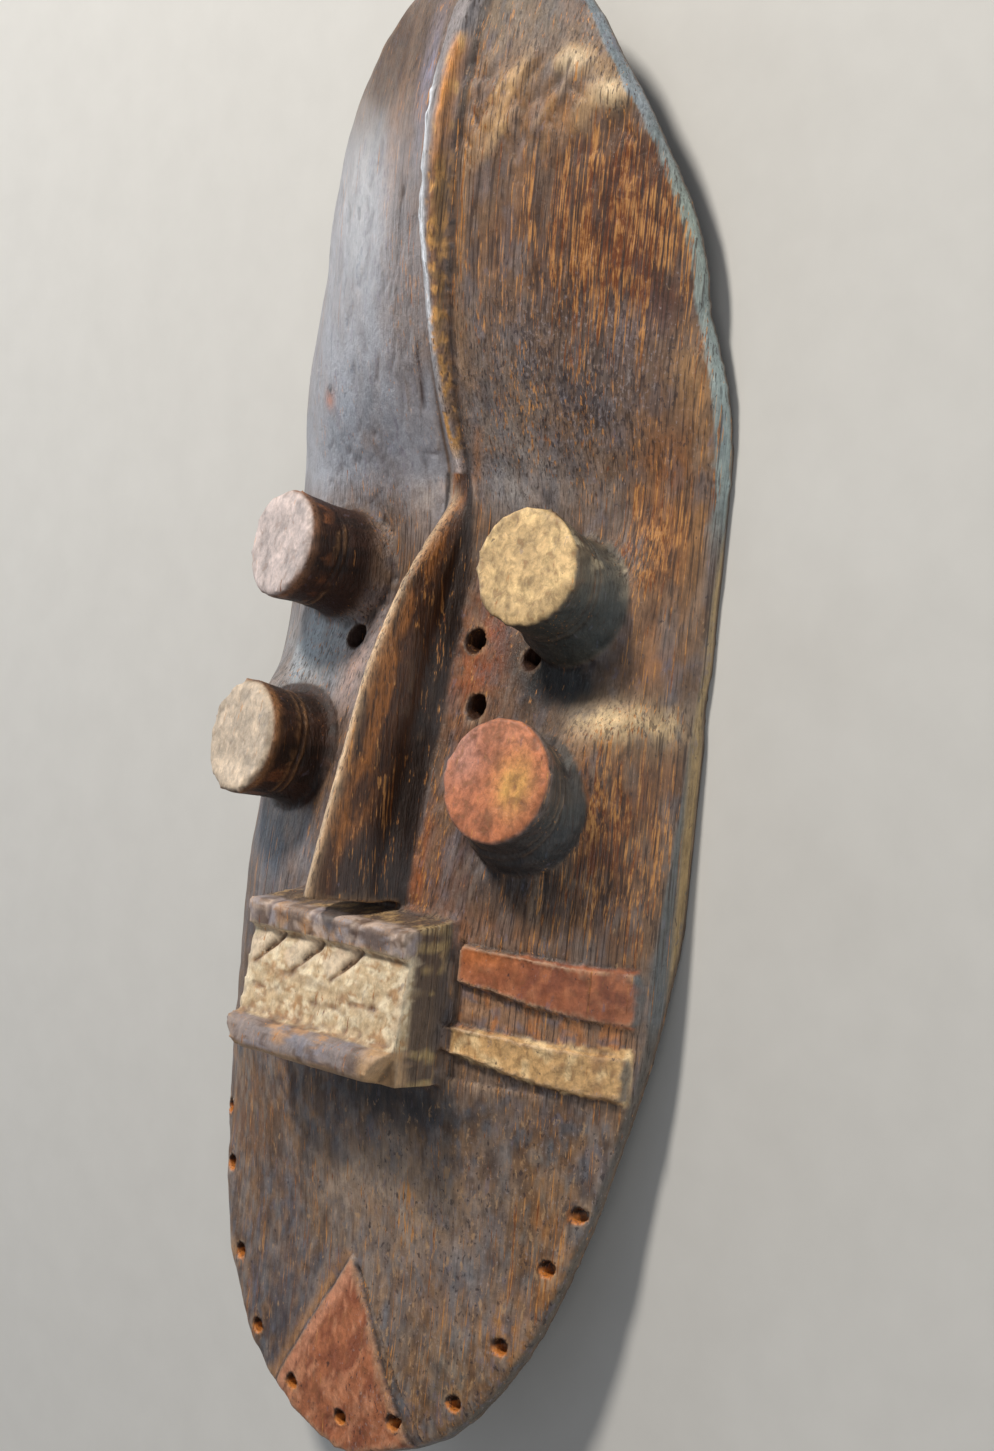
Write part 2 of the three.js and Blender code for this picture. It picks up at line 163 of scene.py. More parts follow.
# Lumps beside the crown and on the cheekbone: middle, reach and height
LUMPS = [((60, 277), (9, 8), 2.6), ((78, 264), (8, 7), 2.4), ((112, 2), (13, 9), 1.2)]

# Broad tones of the painted wood: middle X and Y, reach along both, cover and colour as seen
FACE_TONES = [
    # right of the keel
    (24, 296, 34, 18, 0.9, 124, 108, 90),
    (38, 256, 28, 22, 0.95, 166, 120, 74),
    # painted highlights on the tops of the two lumps beside the crown
    (60, 278, 7, 6, 0.9, 222, 186, 140),
    (77, 265, 8, 5.5, 0.9, 226, 194, 148),
    (34, 270, 13, 6, 0.6, 198, 156, 106),
    (84, 215, 32, 42, 1.0, 88, 42, 20),
    (100, 190, 12, 40, 0.8, 94, 48, 24),
    (50, 205, 26, 34, 0.8, 104, 70, 46),
    (72, 150, 34, 26, 0.8, 106, 90, 82),
    (70, 138, 9, 12, 0.6, 62, 54, 58),
    (92, 168, 12, 20, 0.4, 116, 104, 110),
    (34, 122, 24, 24, 0.85, 132, 116, 104),
    (40, 100, 26, 16, 0.9, 168, 160, 156),
    (117, 152, 7, 14, 0.9, 172, 130, 86),
    (110, 92, 12, 38, 0.9, 150, 94, 50),
    (124, 100, 5, 50, 0.6, 172, 126, 80),
    # around the right-hand eyes
    (28, 24, 15, 28, 0.95, 152, 74, 36),
    (46, 6, 12, 14, 0.6, 128, 88, 66),
    # painted shadow cast by the upper stalk eye on the wearer's left onto the face below it
    (80, 22, 24, 18, 0.95, 26, 26, 29),
    (58, 34, 16, 11, 0.95, 30, 27, 26),
    (104, 30, 12, 30, 0.8, 152, 124, 106),
    (114, 34, 8, 18, 0.7, 178, 122, 78),
    # painted highlight on the top of the cheekbone, which faces the light
    (109, 4, 16, 9, 1.0, 254, 224, 174),
    (104, -8, 14, 7, 0.5, 176, 146, 116),
    (110, -40, 18, 40, 0.9, 132, 80, 46),
    (40, -66, 20, 26, 0.85, 116, 84, 72),
    (22, -68, 4.5, 24, 0.9, 160, 94, 54),
    # painted shadow cast by the lower stalk eye on the wearer's left
    (74, -62, 25, 16, 0.95, 40, 41, 46),
    (60, -92, 30, 8, 0.7, 146, 98, 68),
    # cheeks and lower face
    (-88, -76, 40, 24, 0.85, 92, 96, 106),
    (18, -228, 54, 50, 0.85, 150, 130, 112),
    # dark blue-grey below the mouth, darkened further as the mouth block's painted shadow
    (24, -170, 44, 11, 0.95, 30, 36, 42),
    (-100, -192, 22, 24, 0.8, 132, 92, 72),
    (-76, -222, 20, 26, 0.6, 118, 92, 78),
    (-47, -236, 9, 34, 0.75, 92, 98, 114),
    (-54, -286, 18, 26, 0.85, 70, 68, 76),
    (-14, -222, 14, 40, 0.5, 112, 106, 100),
    (72, -224, 15, 12, 0.85, 118, 130, 138),
    (91, -244, 6, 13, 0.9, 88, 98, 122),
    # painted light, paler where the mouth block's cast shadow falls below it
    (26, -210, 46, 20, 0.9, 198, 176, 156),
    (10, -248, 24, 22, 0.6, 150, 138, 130),
    (44, -260, 18, 26, 0.7, 150, 112, 78),
    (50, -290, 20, 18, 0.7, 124, 98, 78),
    (102, -222, 10, 32, 0.9, 186, 124, 66),
    (88, -262, 13, 30, 0.9, 190, 128, 66),
    (100, -175, 20, 22, 0.6, 126, 92, 68),
]

# Painted shadows below the mouth and below the upper eye on the wearer's left, painted light that
# offsets the mouth block's cast shadow further down, and worn places, all laid over the mottling
LAST_TONES = [
    # painted shadow of the mouth block
    (26, -171, 42, 11, 0.8, 26, 34, 42),
    # painted light over the mouth block's cast shadow
    (24, -212, 44, 20, 0.6, 182, 158, 136),
    (0, -236, 90, 60, 0.2, 138, 108, 84),
    # painted shadow of the upper stalk eye on the wearer's left
    (76, 23, 25, 17, 1.0, 8, 8, 10),
    (56, 32, 14, 10, 0.7, 14, 13, 13),
    (-76, -196, 30, 30, 0.25, 126, 88, 64),
    (-48, -282, 18, 26, 0.5, 66, 58, 64),
    (62, -236, 14, 10, 0.5, 112, 126, 138),
    (70, -214, 30, 34, 0.25, 130, 96, 66),
]

# Tones within the pale wash to the left of the keel
WASH_TONES = [
    (-64, 222, 28, 38, 0.8, 178, 176, 178),
    (-92, 190, 22, 40, 0.5, 160, 160, 168),
    (-70, 120, 46, 26, 0.7, 142, 147, 158),
    (-24, 190, 10, 40, 0.6, 134, 122, 118),
    (-36, 262, 6, 38, 0.7, 164, 124, 92),
    (-52, 288, 38, 32, 0.95, 82, 60, 46),
    (-17, 278, 5, 28, 0.7, 136, 132, 154),
    (-18, 92, 14, 8, 0.6, 176, 160, 150),
    (-30, 78, 14, 12, 0.5, 158, 146, 142),
    (-78, 20, 30, 24, 0.9, 166, 176, 184),
    (-50, 14, 9, 26, 0.8, 166, 138, 126),
]

# Patches of older paint and stain all over the wood
MOTTLES = [
    (0.5, (70, 54, 46)),
    (0.45, (112, 114, 126)),
    (0.4, (150, 112, 80)),
    (0.3, (88, 96, 110)),
    (0.35, (150, 138, 130)),
]

# Small flakes of paint and stain below the mouth
CRACKLE = [
    (0.6, (96, 106, 118)),
    (0.55, (92, 68, 54)),
    (0.5, (158, 122, 88)),
    (0.5, (142, 134, 130)),
    (0.45, (66, 58, 60)),
]

# Where bare fibres show through the paint as streaks
STREAKS = [
    ((84, 210), (34, 40), 0.75),
    ((108, 80), (14, 36), 0.85),
    ((110, -45), (20, 44), 0.75),
    ((100, -225), (12, 50), 0.45),
    ((60, 170), (40, 40), 0.25),
    ((20, 225), (10, 40), 0.3),
    ((112, 2), (12, 10), 0.1),
    ((-28, 190), (12, 50), 0.35),
    ((-90, -195), (24, 20), 0.25),
]

# Where the wood is warmest, and what its red, green and blue lose there
WARM_PLACES = [
    ((86, 208), (30, 44)),
    ((112, 85), (12, 40)),
    ((104, -50), (30, 44)),
    ((28, 24), (16, 30)),
    ((-84, -196), (30, 34)),
    ((60, -286), (30, 24)),
    ((98, -214), (14, 40)),
    ((-50, 285), (34, 30)),
]
WARM_LOSSES = (0, 0.08, 0.26)

# Each eye's end, the brim of that end and its stalk, as seen
EYE_TONES = [
    ("upper_right", (194, 177, 171), (150, 104, 74), (58, 34, 24)),
    ("upper_left", (212, 178, 128), (118, 92, 66), (124, 112, 94)),
    ("lower_right", (196, 176, 153), (156, 108, 68), (62, 38, 26)),
    ("lower_left", (174, 106, 72), (130, 108, 100), (92, 78, 68)),
]


def smooth(t):
    """0 below 0, 1 above 1, with a soft rise between."""
    t = np.clip(t, 0.0, 1.0)
    return t * t * (3.0 - 2.0 * t)


def over(value, low, soft):
    """0 below low, 1 from soft above it."""
    return smooth((value - low) / soft)


def under(value, high, soft):
    """0 above high, 1 from soft below it."""
    return smooth((high - value) / soft)


def band(value, low, high, soft):
    """1 between low and high, falling to 0 over soft beyond them."""
    return smooth((value - low) / soft + 1.0) * smooth((high - value) / soft + 1.0)


def bell(value, width):
    """1 where the value is 0, falling off over the width on both sides."""
    return np.exp(-((value / width) ** 2))


def blob(x, y, centre, reach):
    """A soft round patch, 1 at its centre."""
    return np.exp(-(((x - centre[0]) / reach[0]) ** 2) - ((y - centre[1]) / reach[1]) ** 2)


def line(value, places, sizes):
    """A run of sizes between places along the mask."""
    return np.interp(value, places, sizes)


def unit(vector):
    """A vector's way, with a length of 1."""
    vector = np.array(vector, float)
    return vector / np.linalg.norm(vector)


def tint(red, green, blue):
    """A colour as seen, 0 to 255, as amounts of light."""
    seen = np.array((red, green, blue), float) / 255
    return np.where(seen <= 0.04045, seen / 12.92, ((seen + 0.055) / 1.055) ** 2.4)


def lattice(i, j, k, seed):
    """Repeatable random numbers from -1 to 1 on a grid of whole numbers."""
    mixed = LATTICE_ORDER[(i + seed) & 255]
    mixed = LATTICE_ORDER[(mixed + j) & 255]
    return LATTICE_HEIGHTS[LATTICE_ORDER[(mixed + k) & 255]]


def noise(places, size, seed):
    """Soft noise from -1 to 1 with lumps of the given size along each axis."""
    scaled = places / np.asarray(size, float) + 1000.0 + 0.37 * seed
    cell = np.floor(scaled).astype(np.int64)
    part = scaled - cell
    u, v, w = (part * part * part * (part * (part * 6 - 15) + 10)).T
    i, j, k = cell.T
    layers = []
    for dk in (0, 1):
        rows = []
        for dj in (0, 1):
            near, far = lattice(i, j + dj, k + dk, seed), lattice(i + 1, j + dj, k + dk, seed)
            rows.append(near + u * (far - near))
        layers.append(rows[0] + v * (rows[1] - rows[0]))
    return layers[0] + w * (layers[1] - layers[0])


def rough_noise(places, size, seed, octaves=3):
    """Noise with finer and weaker noise on top."""
    size = np.asarray(size, float)
    return sum(noise(places, size / 2**n, seed + n) / 2**n for n in range(octaves)) / 1.6


def facets(places, size, seed):
    """Shallow scallops with sharp ridges between them, 0 in a scallop's middle and 1 on a ridge."""
    scaled = places / np.asarray(size, float) + 1000.0
    cell = np.floor(scaled).astype(np.int64)
    nearest = np.full(len(places), 9.0)
    for step in np.ndindex(3, 3, 3):
        other = cell + np.array(step) - 1
        jitter = np.stack([lattice(*other.T, seed + axis) for axis in range(3)], axis=1)
        away = np.sum((other + 0.5 + 0.4 * jitter - scaled) ** 2, axis=1)
        nearest = np.minimum(nearest, away)
    return np.clip(nearest, 0.0, 1.0)


def strokes(x, y, count, middle, reach, length, width, lean, seed):
    """Short cuts strewn around a middle: 1 along each cut, 0 away from them."""
    draw = np.random.default_rng(seed)
    total = np.zeros(len(x))
    for _ in range(count):
        at = draw.normal(middle, reach)
        angle = np.radians(draw.normal(lean, 14))
        half, thin = draw.uniform(*length) / 2, draw.uniform(*width)
        strength = draw.uniform(0.5, 1.0)
        near = np.nonzero((np.abs(x - at[0]) < half + 8) & (np.abs(y - at[1]) < half + 8))[0]
        dx, dy = x[near] - at[0], y[near] - at[1]
        along = dx * np.sin(angle) + dy * np.cos(angle)
        off = dx * np.cos(angle) - dy * np.sin(angle) + 0.004 * along**2
        cut = bell(off, thin) * under(np.abs(along), half, 0.6 * half)
        total[near] = np.maximum(total[near], cut * strength)
    return total


def along_lines(x, y, points, width):
    """1 on a bent line through the points, 0 away from it."""
    nearest = np.full(len(x), 1e9)
    for start, end in zip(points, points[1:]):
        a, b = np.array(start, float), np.array(end, float)
        run = b - a
        t = np.clip(((x - a[0]) * run[0] + (y - a[1]) * run[1]) / (run @ run), 0, 1)
        away = np.hypot(x - a[0] - t * run[0], y - a[1] - t * run[1])
        nearest = np.minimum(nearest, away)
    return bell(nearest, width)


def tooth_edge(x, y, start, end):
    """How far a place lies above a tooth's slanting edge, and 1 along the edge's length."""
    run = np.array(end, float) - np.array(start, float)
    length = np.hypot(*run)
    run /= length
    along = (x - start[0]) * run[0] + (y - start[1]) * run[1]
    above = (x - start[0]) * run[1] - (y - start[1]) * run[0]
    return above, band(along, 0, length, 2.0)


def slanted(places, straight, aslant):
    """The places turned about Z, so that what runs along their Y leans across the face."""
    return places @ np.array([[straight, aslant, 0], [-aslant, straight, 0], [0, 0, 1]])


def folds_of(places):
    """Slanting folds of the crumpled patch beside the crown, from about -1 to 1."""
    return rough_noise(slanted(places, 0.85, 0.53), (8.5, 34, 16), 31, 2)


def read(data, name, width, kind=np.float32):
    """One property of every vertex or edge, as rows of numbers."""
    flat = np.empty(len(data) * width, kind)
    data.foreach_get(name, flat)
    return flat.reshape(-1, width)


class Surface:
    """The vertices of a piece, in the carving's datum and in millimetres, with its net of edges."""

    def __init__(self, piece):
        mesh = piece.data
        self.piece = piece
        self.count = len(mesh.vertices)
        self.places = read(mesh.vertices, "co", 3).astype(float) / MM
        self.places[:, 1] += CHIN_END - CHIN_IN_FRAME
        self.edges = read(mesh.edges, "vertices", 2, np.int32)
        ends = np.bincount(self.edges.ravel(), minlength=self.count)
        self.degree = np.maximum(ends, 1).astype(float)
        self.read_normals()

    def read_normals(self):
        self.normals = read(self.piece.data.vertex_normals, "vector", 3).astype(float)

    def write(self):
        """Puts the places back into the piece's mesh and reads its new normals."""
        places = self.places.copy()
        places[:, 1] -= CHIN_END - CHIN_IN_FRAME
        self.piece.data.vertices.foreach_set("co", (places * MM).astype(np.float32).ravel())
        self.piece.data.update()
        self.read_normals()

    def neighbours_mean(self, values):
        a, b = self.edges.T
        total = np.bincount(a, values[b], self.count) + np.bincount(b, values[a], self.count)
        return total / self.degree

    def blurred(self, values, rounds):
        for _ in range(rounds):
            values = 0.5 * values + 0.5 * self.neighbours_mean(values)
        return values

    def blurred_each(self, vectors, rounds):
        return np.stack([self.blurred(column, rounds) for column in vectors.T], axis=1)

    def relax(self, share, rounds, spread):
        """Moves each vertex to its neighbours' middle, then puts back what moved as a whole."""
        before = self.places.copy()
        for _ in range(rounds):
            middle = np.stack([self.neighbours_mean(column) for column in self.places.T], axis=1)
            self.places += share[:, None] * 0.6 * (middle - self.places)
        self.places -= self.blurred_each(self.places - before, spread)

    def bulge(self, rounds):
        """How far each vertex stands proud of the surface around it, in millimetres."""
        around = self.blurred_each(self.places, rounds)
        return np.sum((self.places - around) * self.normals, axis=1)

    def push(self, amount):
        """Moves each vertex along its normal, in millimetres."""
        self.places += self.normals * amount[:, None]


def deselect():
    for obj in bpy.context.view_layer.objects:
        obj.select_set(False)


def pick(piece):
    deselect()
    piece.select_set(True)
    bpy.context.view_layer.objects.active = piece


def apply_modifier(piece, kind, **settings):
    pick(piece)
    bpy.ops.object.modifier_add(type=kind)
    modifier = piece.modifiers[-1]
    for name, value in settings.items():
        setattr(modifier, name, value)
    bpy.ops.object.modifier_apply(modifier=modifier.name)


def copy_of_node(node, name):
    """A merged copy of a CAD node's mesh, as a new piece."""
    piece = bpy.data.objects.new(name, frame["nodes"][node].data.copy())
    bpy.context.scene.collection.objects.link(piece)
    piece.data.materials.clear()
    pick(piece)
    bpy.ops.object.mode_set(mode="EDIT")
    bpy.ops.mesh.select_all(action="SELECT")
    bpy.ops.mesh.remove_doubles(threshold=1e-6)
    bpy.ops.object.mode_set(mode="OBJECT")
    return piece


def keel_half(y):
    """Half width of the keel at y."""
    return line(y, [99, 150, 210, 321], [1.5, 3.0, 4.5, 4.5])


def chin_half(y, base):
    """Half width of the chin's triangle at y, for its half width at the chin's end."""
    return base * (CHIN_APEX - y) / (CHIN_APEX - CHIN_END) + 0.6


class Areas:
    """Where each part of the carving is on a surface, as numbers from 0 to 1 for each vertex."""

    def __init__(self, surface):
        self.surface = surface
        self.places = surface.places
        self.x, self.y, self.z = self.places.T
        self.across = np.abs(self.x)
        self.up = surface.normals[:, 2]
        self.disc, self.stalk, self.down, self.disc_radius = {}, {}, {}, {}
        for name, (middle, size, axis, facing) in EYES.items():
            axis = unit(axis)
            out = self.places - np.array(middle)
            below = -(out @ unit(facing))
            along = out @ axis
            radius = np.linalg.norm(out - along[:, None] * axis, axis=1)
            near = under(radius, size * 1.16, 1.5) * under(below, STALK_LENGTH, 8)
            flat = under(below, 2.2, 1.4) * under(radius, size * 1.2, 1)
            flat *= over(below, -6, 2)
            self.disc[name] = flat
            self.stalk[name] = near * (1 - flat) * over(below, -4, 2)
            self.down[name] = below
            self.disc_radius[name] = radius / size
        self.eyes = np.clip(sum(self.disc.values()) + sum(self.stalk.values()), 0, 1)
        nose_half = line(self.y, [-85, -4, 66, 103], [18.5, 15, 11, 7])
        self.nose_share = self.x / nose_half
        beside = under(self.across, nose_half + 1.5, 2)
        self.nose = band(self.y, NOSE_BOTTOM, NOSE_TOP, 1.5) * beside
        beside = under(self.across, 7.5, 2)
        self.crest = band(self.y, CREST_START, CREST_END, 2.0) * beside
        beside = under(self.across, MOUTH_HALF_WIDTH + 2, 1.5)
        self.mouth = band(self.y, -159.5, -85.5, 1.5) * beside
        face_height = line(self.y, [-165, -85], [62.0, 58.0])
        self.mouth *= over(self.z, face_height - 1, 3)
        self.mouth_front = self.mouth * over(self.z, 77, 4)
        self.carved = np.clip(self.eyes + self.nose + self.crest + self.mouth, 0, 1)

    def rough(self, size, seed, octaves=3):
        """Rough noise over the surface, from about -1 to 1."""
        return rough_noise(self.places, size, seed, octaves)

    def patches(self, size, seed, low, soft, octaves=3):
        """Rough patches: 1 where the noise is more than soft above low, 0 where it is below low."""
        return over(self.rough(size, seed, octaves), low, soft)

    def holes(self):
        """Each bored hole's radius, and the way from each vertex to its middle along X and Y."""
        for holes, radius in ((SIGHT_HOLES, SIGHT_RADIUS), (TIE_HOLES, TIE_RADIUS)):
            for x, y in holes:
                yield radius, x - self.across, y - self.y

    def around_holes(self, reach):
        """1 within reach of the bored holes."""
        near = np.zeros(len(self.x))
        for radius, dx, dy in self.holes():
            away = np.hypot(dx, dy) - radius
            near = np.maximum(near, under(away, reach, 0.8) * (self.z < HOLES_BELOW))
        return near

    def bores(self):
        """1 on the walls of the sight holes, and 1 on those of the tie holes."""
        found = {SIGHT_RADIUS: np.zeros(len(self.x)), TIE_RADIUS: np.zeros(len(self.x))}
        normals = self.surface.normals
        outwards = normals[:, 0] * np.sign(self.x)
        for radius, dx, dy in self.holes():
            away = np.hypot(dx, dy) + 1e-6
            inwards = (outwards * dx + normals[:, 1] * dy) / away
            wall = under(away, radius + 1.3, 0.6) * over(inwards, 0.1, 0.3)
            found[radius] = np.maximum(found[radius], wall * (self.z < HOLES_BELOW))
        return found[SIGHT_RADIUS], found[TIE_RADIUS]


def back_of(surface):
    """1 on the hollow back: what faces down and sees the ground."""
    tree = BVHTree.FromPolygons(
        surface.places.tolist(),
        [tuple(face.vertices) for face in surface.piece.data.polygons],
    )
    down = Vector((0, 0, -1))
    back = np.zeros(surface.count)
    facing_down = surface.normals[:, 2] < -0.15
    for i in np.nonzero(facing_down)[0]:
        start = Vector(surface.places[i] + surface.normals[i] * 0.5)
        back[i] = tree.ray_cast(start, down)[0] is None
    return back


def thin_out(piece, surface, faces):
    """Fewer triangles, most of them left on the front."""
    pick(piece)
    hollow = surface.normals[:, 2] < -0.2
    piece.data.vertices.foreach_set("select", hollow)
    bpy.ops.object.mode_set(mode="EDIT")
    bpy.ops.mesh.select_mode(type="VERT")
    bpy.ops.mesh.decimate(ratio=BACK_SHARE)
    bpy.ops.object.mode_set(mode="OBJECT")
    share = faces / len(piece.data.polygons)
    if share < 1:
        apply_modifier(piece, "DECIMATE", ratio=share)


def soften_facets(surface):
    """Melts the flats of the solid's faces, keeps its carved edges and evens its outline."""
    blurred = surface.blurred_each(surface.normals, 8)
    blurred /= np.linalg.norm(blurred, axis=1)[:, None] + 1e-9
    turn = np.degrees(np.arccos(np.clip(np.sum(blurred * surface.normals, axis=1), -1, 1)))
    edge = over(turn, 5, 6)
    edge = np.clip(surface.blurred(edge, 6) * 3.0, 0, 1)
    areas = Areas(surface)
    holes = areas.around_holes(7.0)
    surface.relax((1.0 - edge) * (1 - 0.85 * holes) * (1 - 0.9 * areas.mouth), 110, 30)
    rim = surface.blurred(rim_of(surface), 3)
    surface.relax((0.25 + 0.75 * rim) * (1 - 0.75 * holes) * (1 - 0.9 * areas.mouth), 4, 12)
    surface.relax(rim * (1 - holes), 16, 16)


def inside_outline(surface):
    """How far each vertex lies inside the outline, along X."""
    x, y = surface.places[:, 0], surface.places[:, 1]
    steps = (y - CHIN_END) / ROW_HEIGHT
    rows = np.clip(steps.astype(int), 0, ROWS - 1)
    inside = np.zeros(surface.count)
    for side in (1, -1):
        reach = np.zeros(ROWS)
        np.maximum.at(reach, rows, side * x)
        inside += (line(steps, np.arange(ROWS) + 0.5, reach) - side * x) * (side * x > 0)
    return inside


def rim_of(surface):
    """1 on the side walls of the outline."""
    y = surface.places[:, 1]
    steep = under(np.abs(surface.normals[:, 2]), 0.55, 0.2)
    outline = (inside_outline(surface) < 5.0) | (y > RIM_ABOVE) | (y < RIM_BELOW)
    return steep * outline


class Relief(Areas):
    """The finer relief of the carving and its wear, as how far each vertex is raised."""

    def __init__(self, surface):
        super().__init__(surface)
        self.back = surface.blurred(back_of(surface), 2)
        self.front = 1 - self.back
        self.rim = surface.blurred(rim_of(surface), 4)
        hole = self.around_holes(1.5)
        self.face = self.front * (1 - self.carved) * (1 - self.rim) * (1 - hole)
        self.depth = np.zeros(surface.count)


def carve_face(r):
    """Broad unevenness of hand work, long and short grain, then dents, folds and lumps."""
    depth, face, x, y = r.depth, r.face, r.x, r.y
    depth += face * 0.7 * r.rough((24, 44, 24), 11)
    depth += face * 0.35 * r.rough((9, 15, 9), 13, 2)
    forehead = over(y, 88, 20)
    right = over(x, 4, 10)
    grainy = right * (0.4 + 0.6 * over(x, 30, 40)) * forehead
    grainy += right * 0.7 * band(y, -95, 0, 12)
    grainy += 0.45 * under(y, -160, 12)
    depth += face * (0.12 + 0.38 * grainy) * r.rough((3.6, 30, 6), 21)
    cuts = np.zeros(len(x))
    for deep, *cut in KNIFE_CUTS:
        cuts += deep * strokes(x, y, *cut)
    depth -= face * cuts
    depth += face * blob(x, y, (48, 260), (42, 26)) * 3.2 * folds_of(r.places)
    for at, reach, height in LUMPS:
        depth += face * height * blob(x, y, at, reach)


def carve_keel(r):
    """Crisp edges, and a gutter with chisel ticks along the keel's foot."""
    depth, front, x, y = r.depth, r.front, r.x, r.y
    half = keel_half(y)
    keel = band(y, 112, 312, 12)
    for edge in (-1, 1):
        depth += front * keel * 0.3 * bell(x - edge * (half - 0.6), 0.9)
    gutter = bell(x - half - 4.2, 2.4) * keel
    depth -= front * gutter * 0.9
    ticks = np.clip(noise(r.places, (40, 2.2, 40), 33), 0, 1) * band(y, *TICKED, 10)
    depth += front * gutter * ticks * 0.8
    depth -= front * 0.7 * bell(x + half + 3.0, 2.6) * keel


def carve_nose(r):
    """A dark groove down each flank of the nose, and its grain."""
    depth, nose = r.depth, r.nose
    groove = bell(np.abs(r.nose_share) - 0.79, 0.07) * band(r.y, -78, 66, 14)
    depth -= nose * groove * 1.5
    depth += nose * 0.5 * r.rough((3.4, 40, 9), 41)
    cuts = strokes(r.x, r.y, 12, (9, -10), (4, 38), (14, 40), (0.9, 1.5), -6, 308)
    depth -= nose * 0.6 * cuts


def carve_mouth(r):
    """Kaolin laid on lumpily between the lips, the teeth's edges, and nicks across the lips."""
    depth, x, y = r.depth, r.x, r.y
    teeth_row = band(y, -141, -103.5, 1.5) * r.mouth_front
    depth += teeth_row * 0.55 * r.rough((6.5, 4.2, 6.5), 51)
    deep = 0.5 + 0.6 * noise(r.places, (6, 6, 6), 53)
    for points in MOUTH_CREASES:
        depth -= teeth_row * deep * along_lines(x, y, points, 1.6)
    for start, end in TOOTH_EDGES:
        above, along = tooth_edge(x, y, start, end)
        fall = np.clip(1 - above / 9.0, 0, 1)
        depth += teeth_row * along * 0.5 * over(above, 0, 0.6) * fall
        depth -= teeth_row * along * 0.6 * bell(above + 1.0, 0.9)
    lips = r.mouth_front * (1 - teeth_row)
    for at in LIP_NICKS_ABOVE:
        nick = bell(x - at - NICK_LEAN * (y - NICK_MIDDLE), 1.5)
        depth -= lips * band(y, -103, -87, 1.5) * 0.6 * nick
    for at in LIP_NICKS_BELOW:
        depth -= lips * band(y, -160, -144, 2) * 0.7 * bell(x - at, 1.6)
    depth += r.mouth * 0.4 * r.rough((10, 11, 20), 61)


def carve_eyes(r):
    """Worn rims of the stalk eyes, and the grooves cut around their stalks."""
    depth = r.depth
    for seed, name in enumerate(EYES):
        down, stalk = r.down[name], r.stalk[name]
        rim_line = bell(r.disc_radius[name] - 1.0, 0.1) * band(down, -1, 3, 2)
        depth -= rim_line * 0.8 * np.clip(r.rough((10, 10, 10), 71 + seed), 0, 1)
        depth += r.disc[name] * 0.4 * r.rough((12, 12, 12), 81 + seed)
        depth += stalk * 0.5 * r.rough((8, 8, 18), 91 + seed)
        for at in STALK_GROOVES:
            wavy = down - at - 1.2 * noise(r.places, (16, 16, 60), 95 + seed)
            depth -= stalk * bell(wavy, 0.8) * 0.8


def carve_bars(r):
    """The worn edges of the bars."""
    bars = r.face * band(r.y, -154, -96, 1) * band(r.across, 54, 129, 2)
    bars *= over(r.x, -RIGHT_BARS_END, 2)
    worn = over(r.up, 0.8, 0.15)
    r.depth += bars * (0.6 * r.rough((7, 4, 7), 63, 2) - worn)


def carve_back(r):
    """The scallops of the adze in the hollow back."""
    hollow = r.back * over(-r.up, 0.45, 0.3)
    hollow *= over(inside_outline(r.surface), 15, 6) * (np.abs(r.y) < 310)
    scallops = 1.4 * facets(r.places, (21, 33, 40), 101) - 0.6
    r.depth += r.surface.blurred(hollow, 6) * scallops


def cut_back(r):
    """Lowers what the solid raises beyond the painted bars and triangle."""
    front, x, y, z = r.front, r.x, r.y, r.z
    for ends, low, high, relief in SUNK_BARS:
        inside = band(y, line(-x, ends, low) - 0.5, line(-x, ends, high) + 0.5, 0.9)
        z -= front * relief * inside * band(-x, RIGHT_BARS_END, ends[1] + 0.8, 0.9)
    hidden = front * under(x, 2 - RIGHT_BARS_END, 3) * band(y, -158, -92, 3.0)
    r.surface.relax(hidden, 60, 60)
    narrow, wide = chin_half(y, CHIN_LEFT_HALF_BASE), chin_half(y, CHIN_HALF_BASE)
    strip = band(x, narrow, wide + 0.8, 0.9)
    z -= front * CHIN_RELIEF * strip * under(y, CHIN_APEX - 2, 3)


def carve(surface):
    """Gives the surface the finer relief of the carving and its wear."""
    relief = Relief(surface)
    parts = (carve_face, carve_keel, carve_nose, carve_mouth, carve_eyes, carve_bars, carve_back)
    for carve_part in parts:
        carve_part(relief)
    surface.push(relief.depth * (1 - 0.8 * relief.rim))
    cut_back(relief)
    surface.write()


class Paintwork(Areas):
    """Wood, stains and paints laid over each other on the vertices of a surface."""

    def __init__(self, surface):
        super().__init__(surface)
        self.back = surface.blurred(back_of(surface), 2)
        self.front = 1 - self.back
        self.rim = self.front * surface.blurred(rim_of(surface), 1)
        self.face = self.front * (1 - self.carved)
        self.right = over(self.x, 3, 4)
        self.left = under(self.x, -1, 4)
        self.broad = self.rough((34, 60, 34), 201)
        self.mottle = self.rough((12, 20, 12), 211)
        self.fine = self.rough((4.5, 8, 4.5), 221, 2)
        self.tall = self.rough((3.6, 30, 8), 231)
        self.breaks = 1 + 0.7 * self.mottle + 0.5 * self.fine
        self.forehead = smooth((self.y - 80 - 12 * self.mottle - 14 * self.broad) / 24.0)
        self.low_face = under(self.y, -150, 20)
        self.fibrous = blob(self.x, self.y, (86, 205), (34, 44))
        self.proud = surface.bulge(10)
        self.tone = np.tile(tint(116, 91, 72), (surface.count, 1))

    def lay(self, share, *seen):
        """Covers a share of each vertex's tone with a colour as seen."""
        share = np.clip(share, 0, 1)[:, None]
        self.tone += share * (tint(*seen) - self.tone)

    def lay_tones(self, tones):
        """Soft patches of colour on the face, broken up by the mottling."""
        for x, y, wide, long, share, *seen in tones:
            patch = blob(self.x, self.y, (x, y), (wide, long))
            self.lay(self.face * share * patch * self.breaks, *seen)


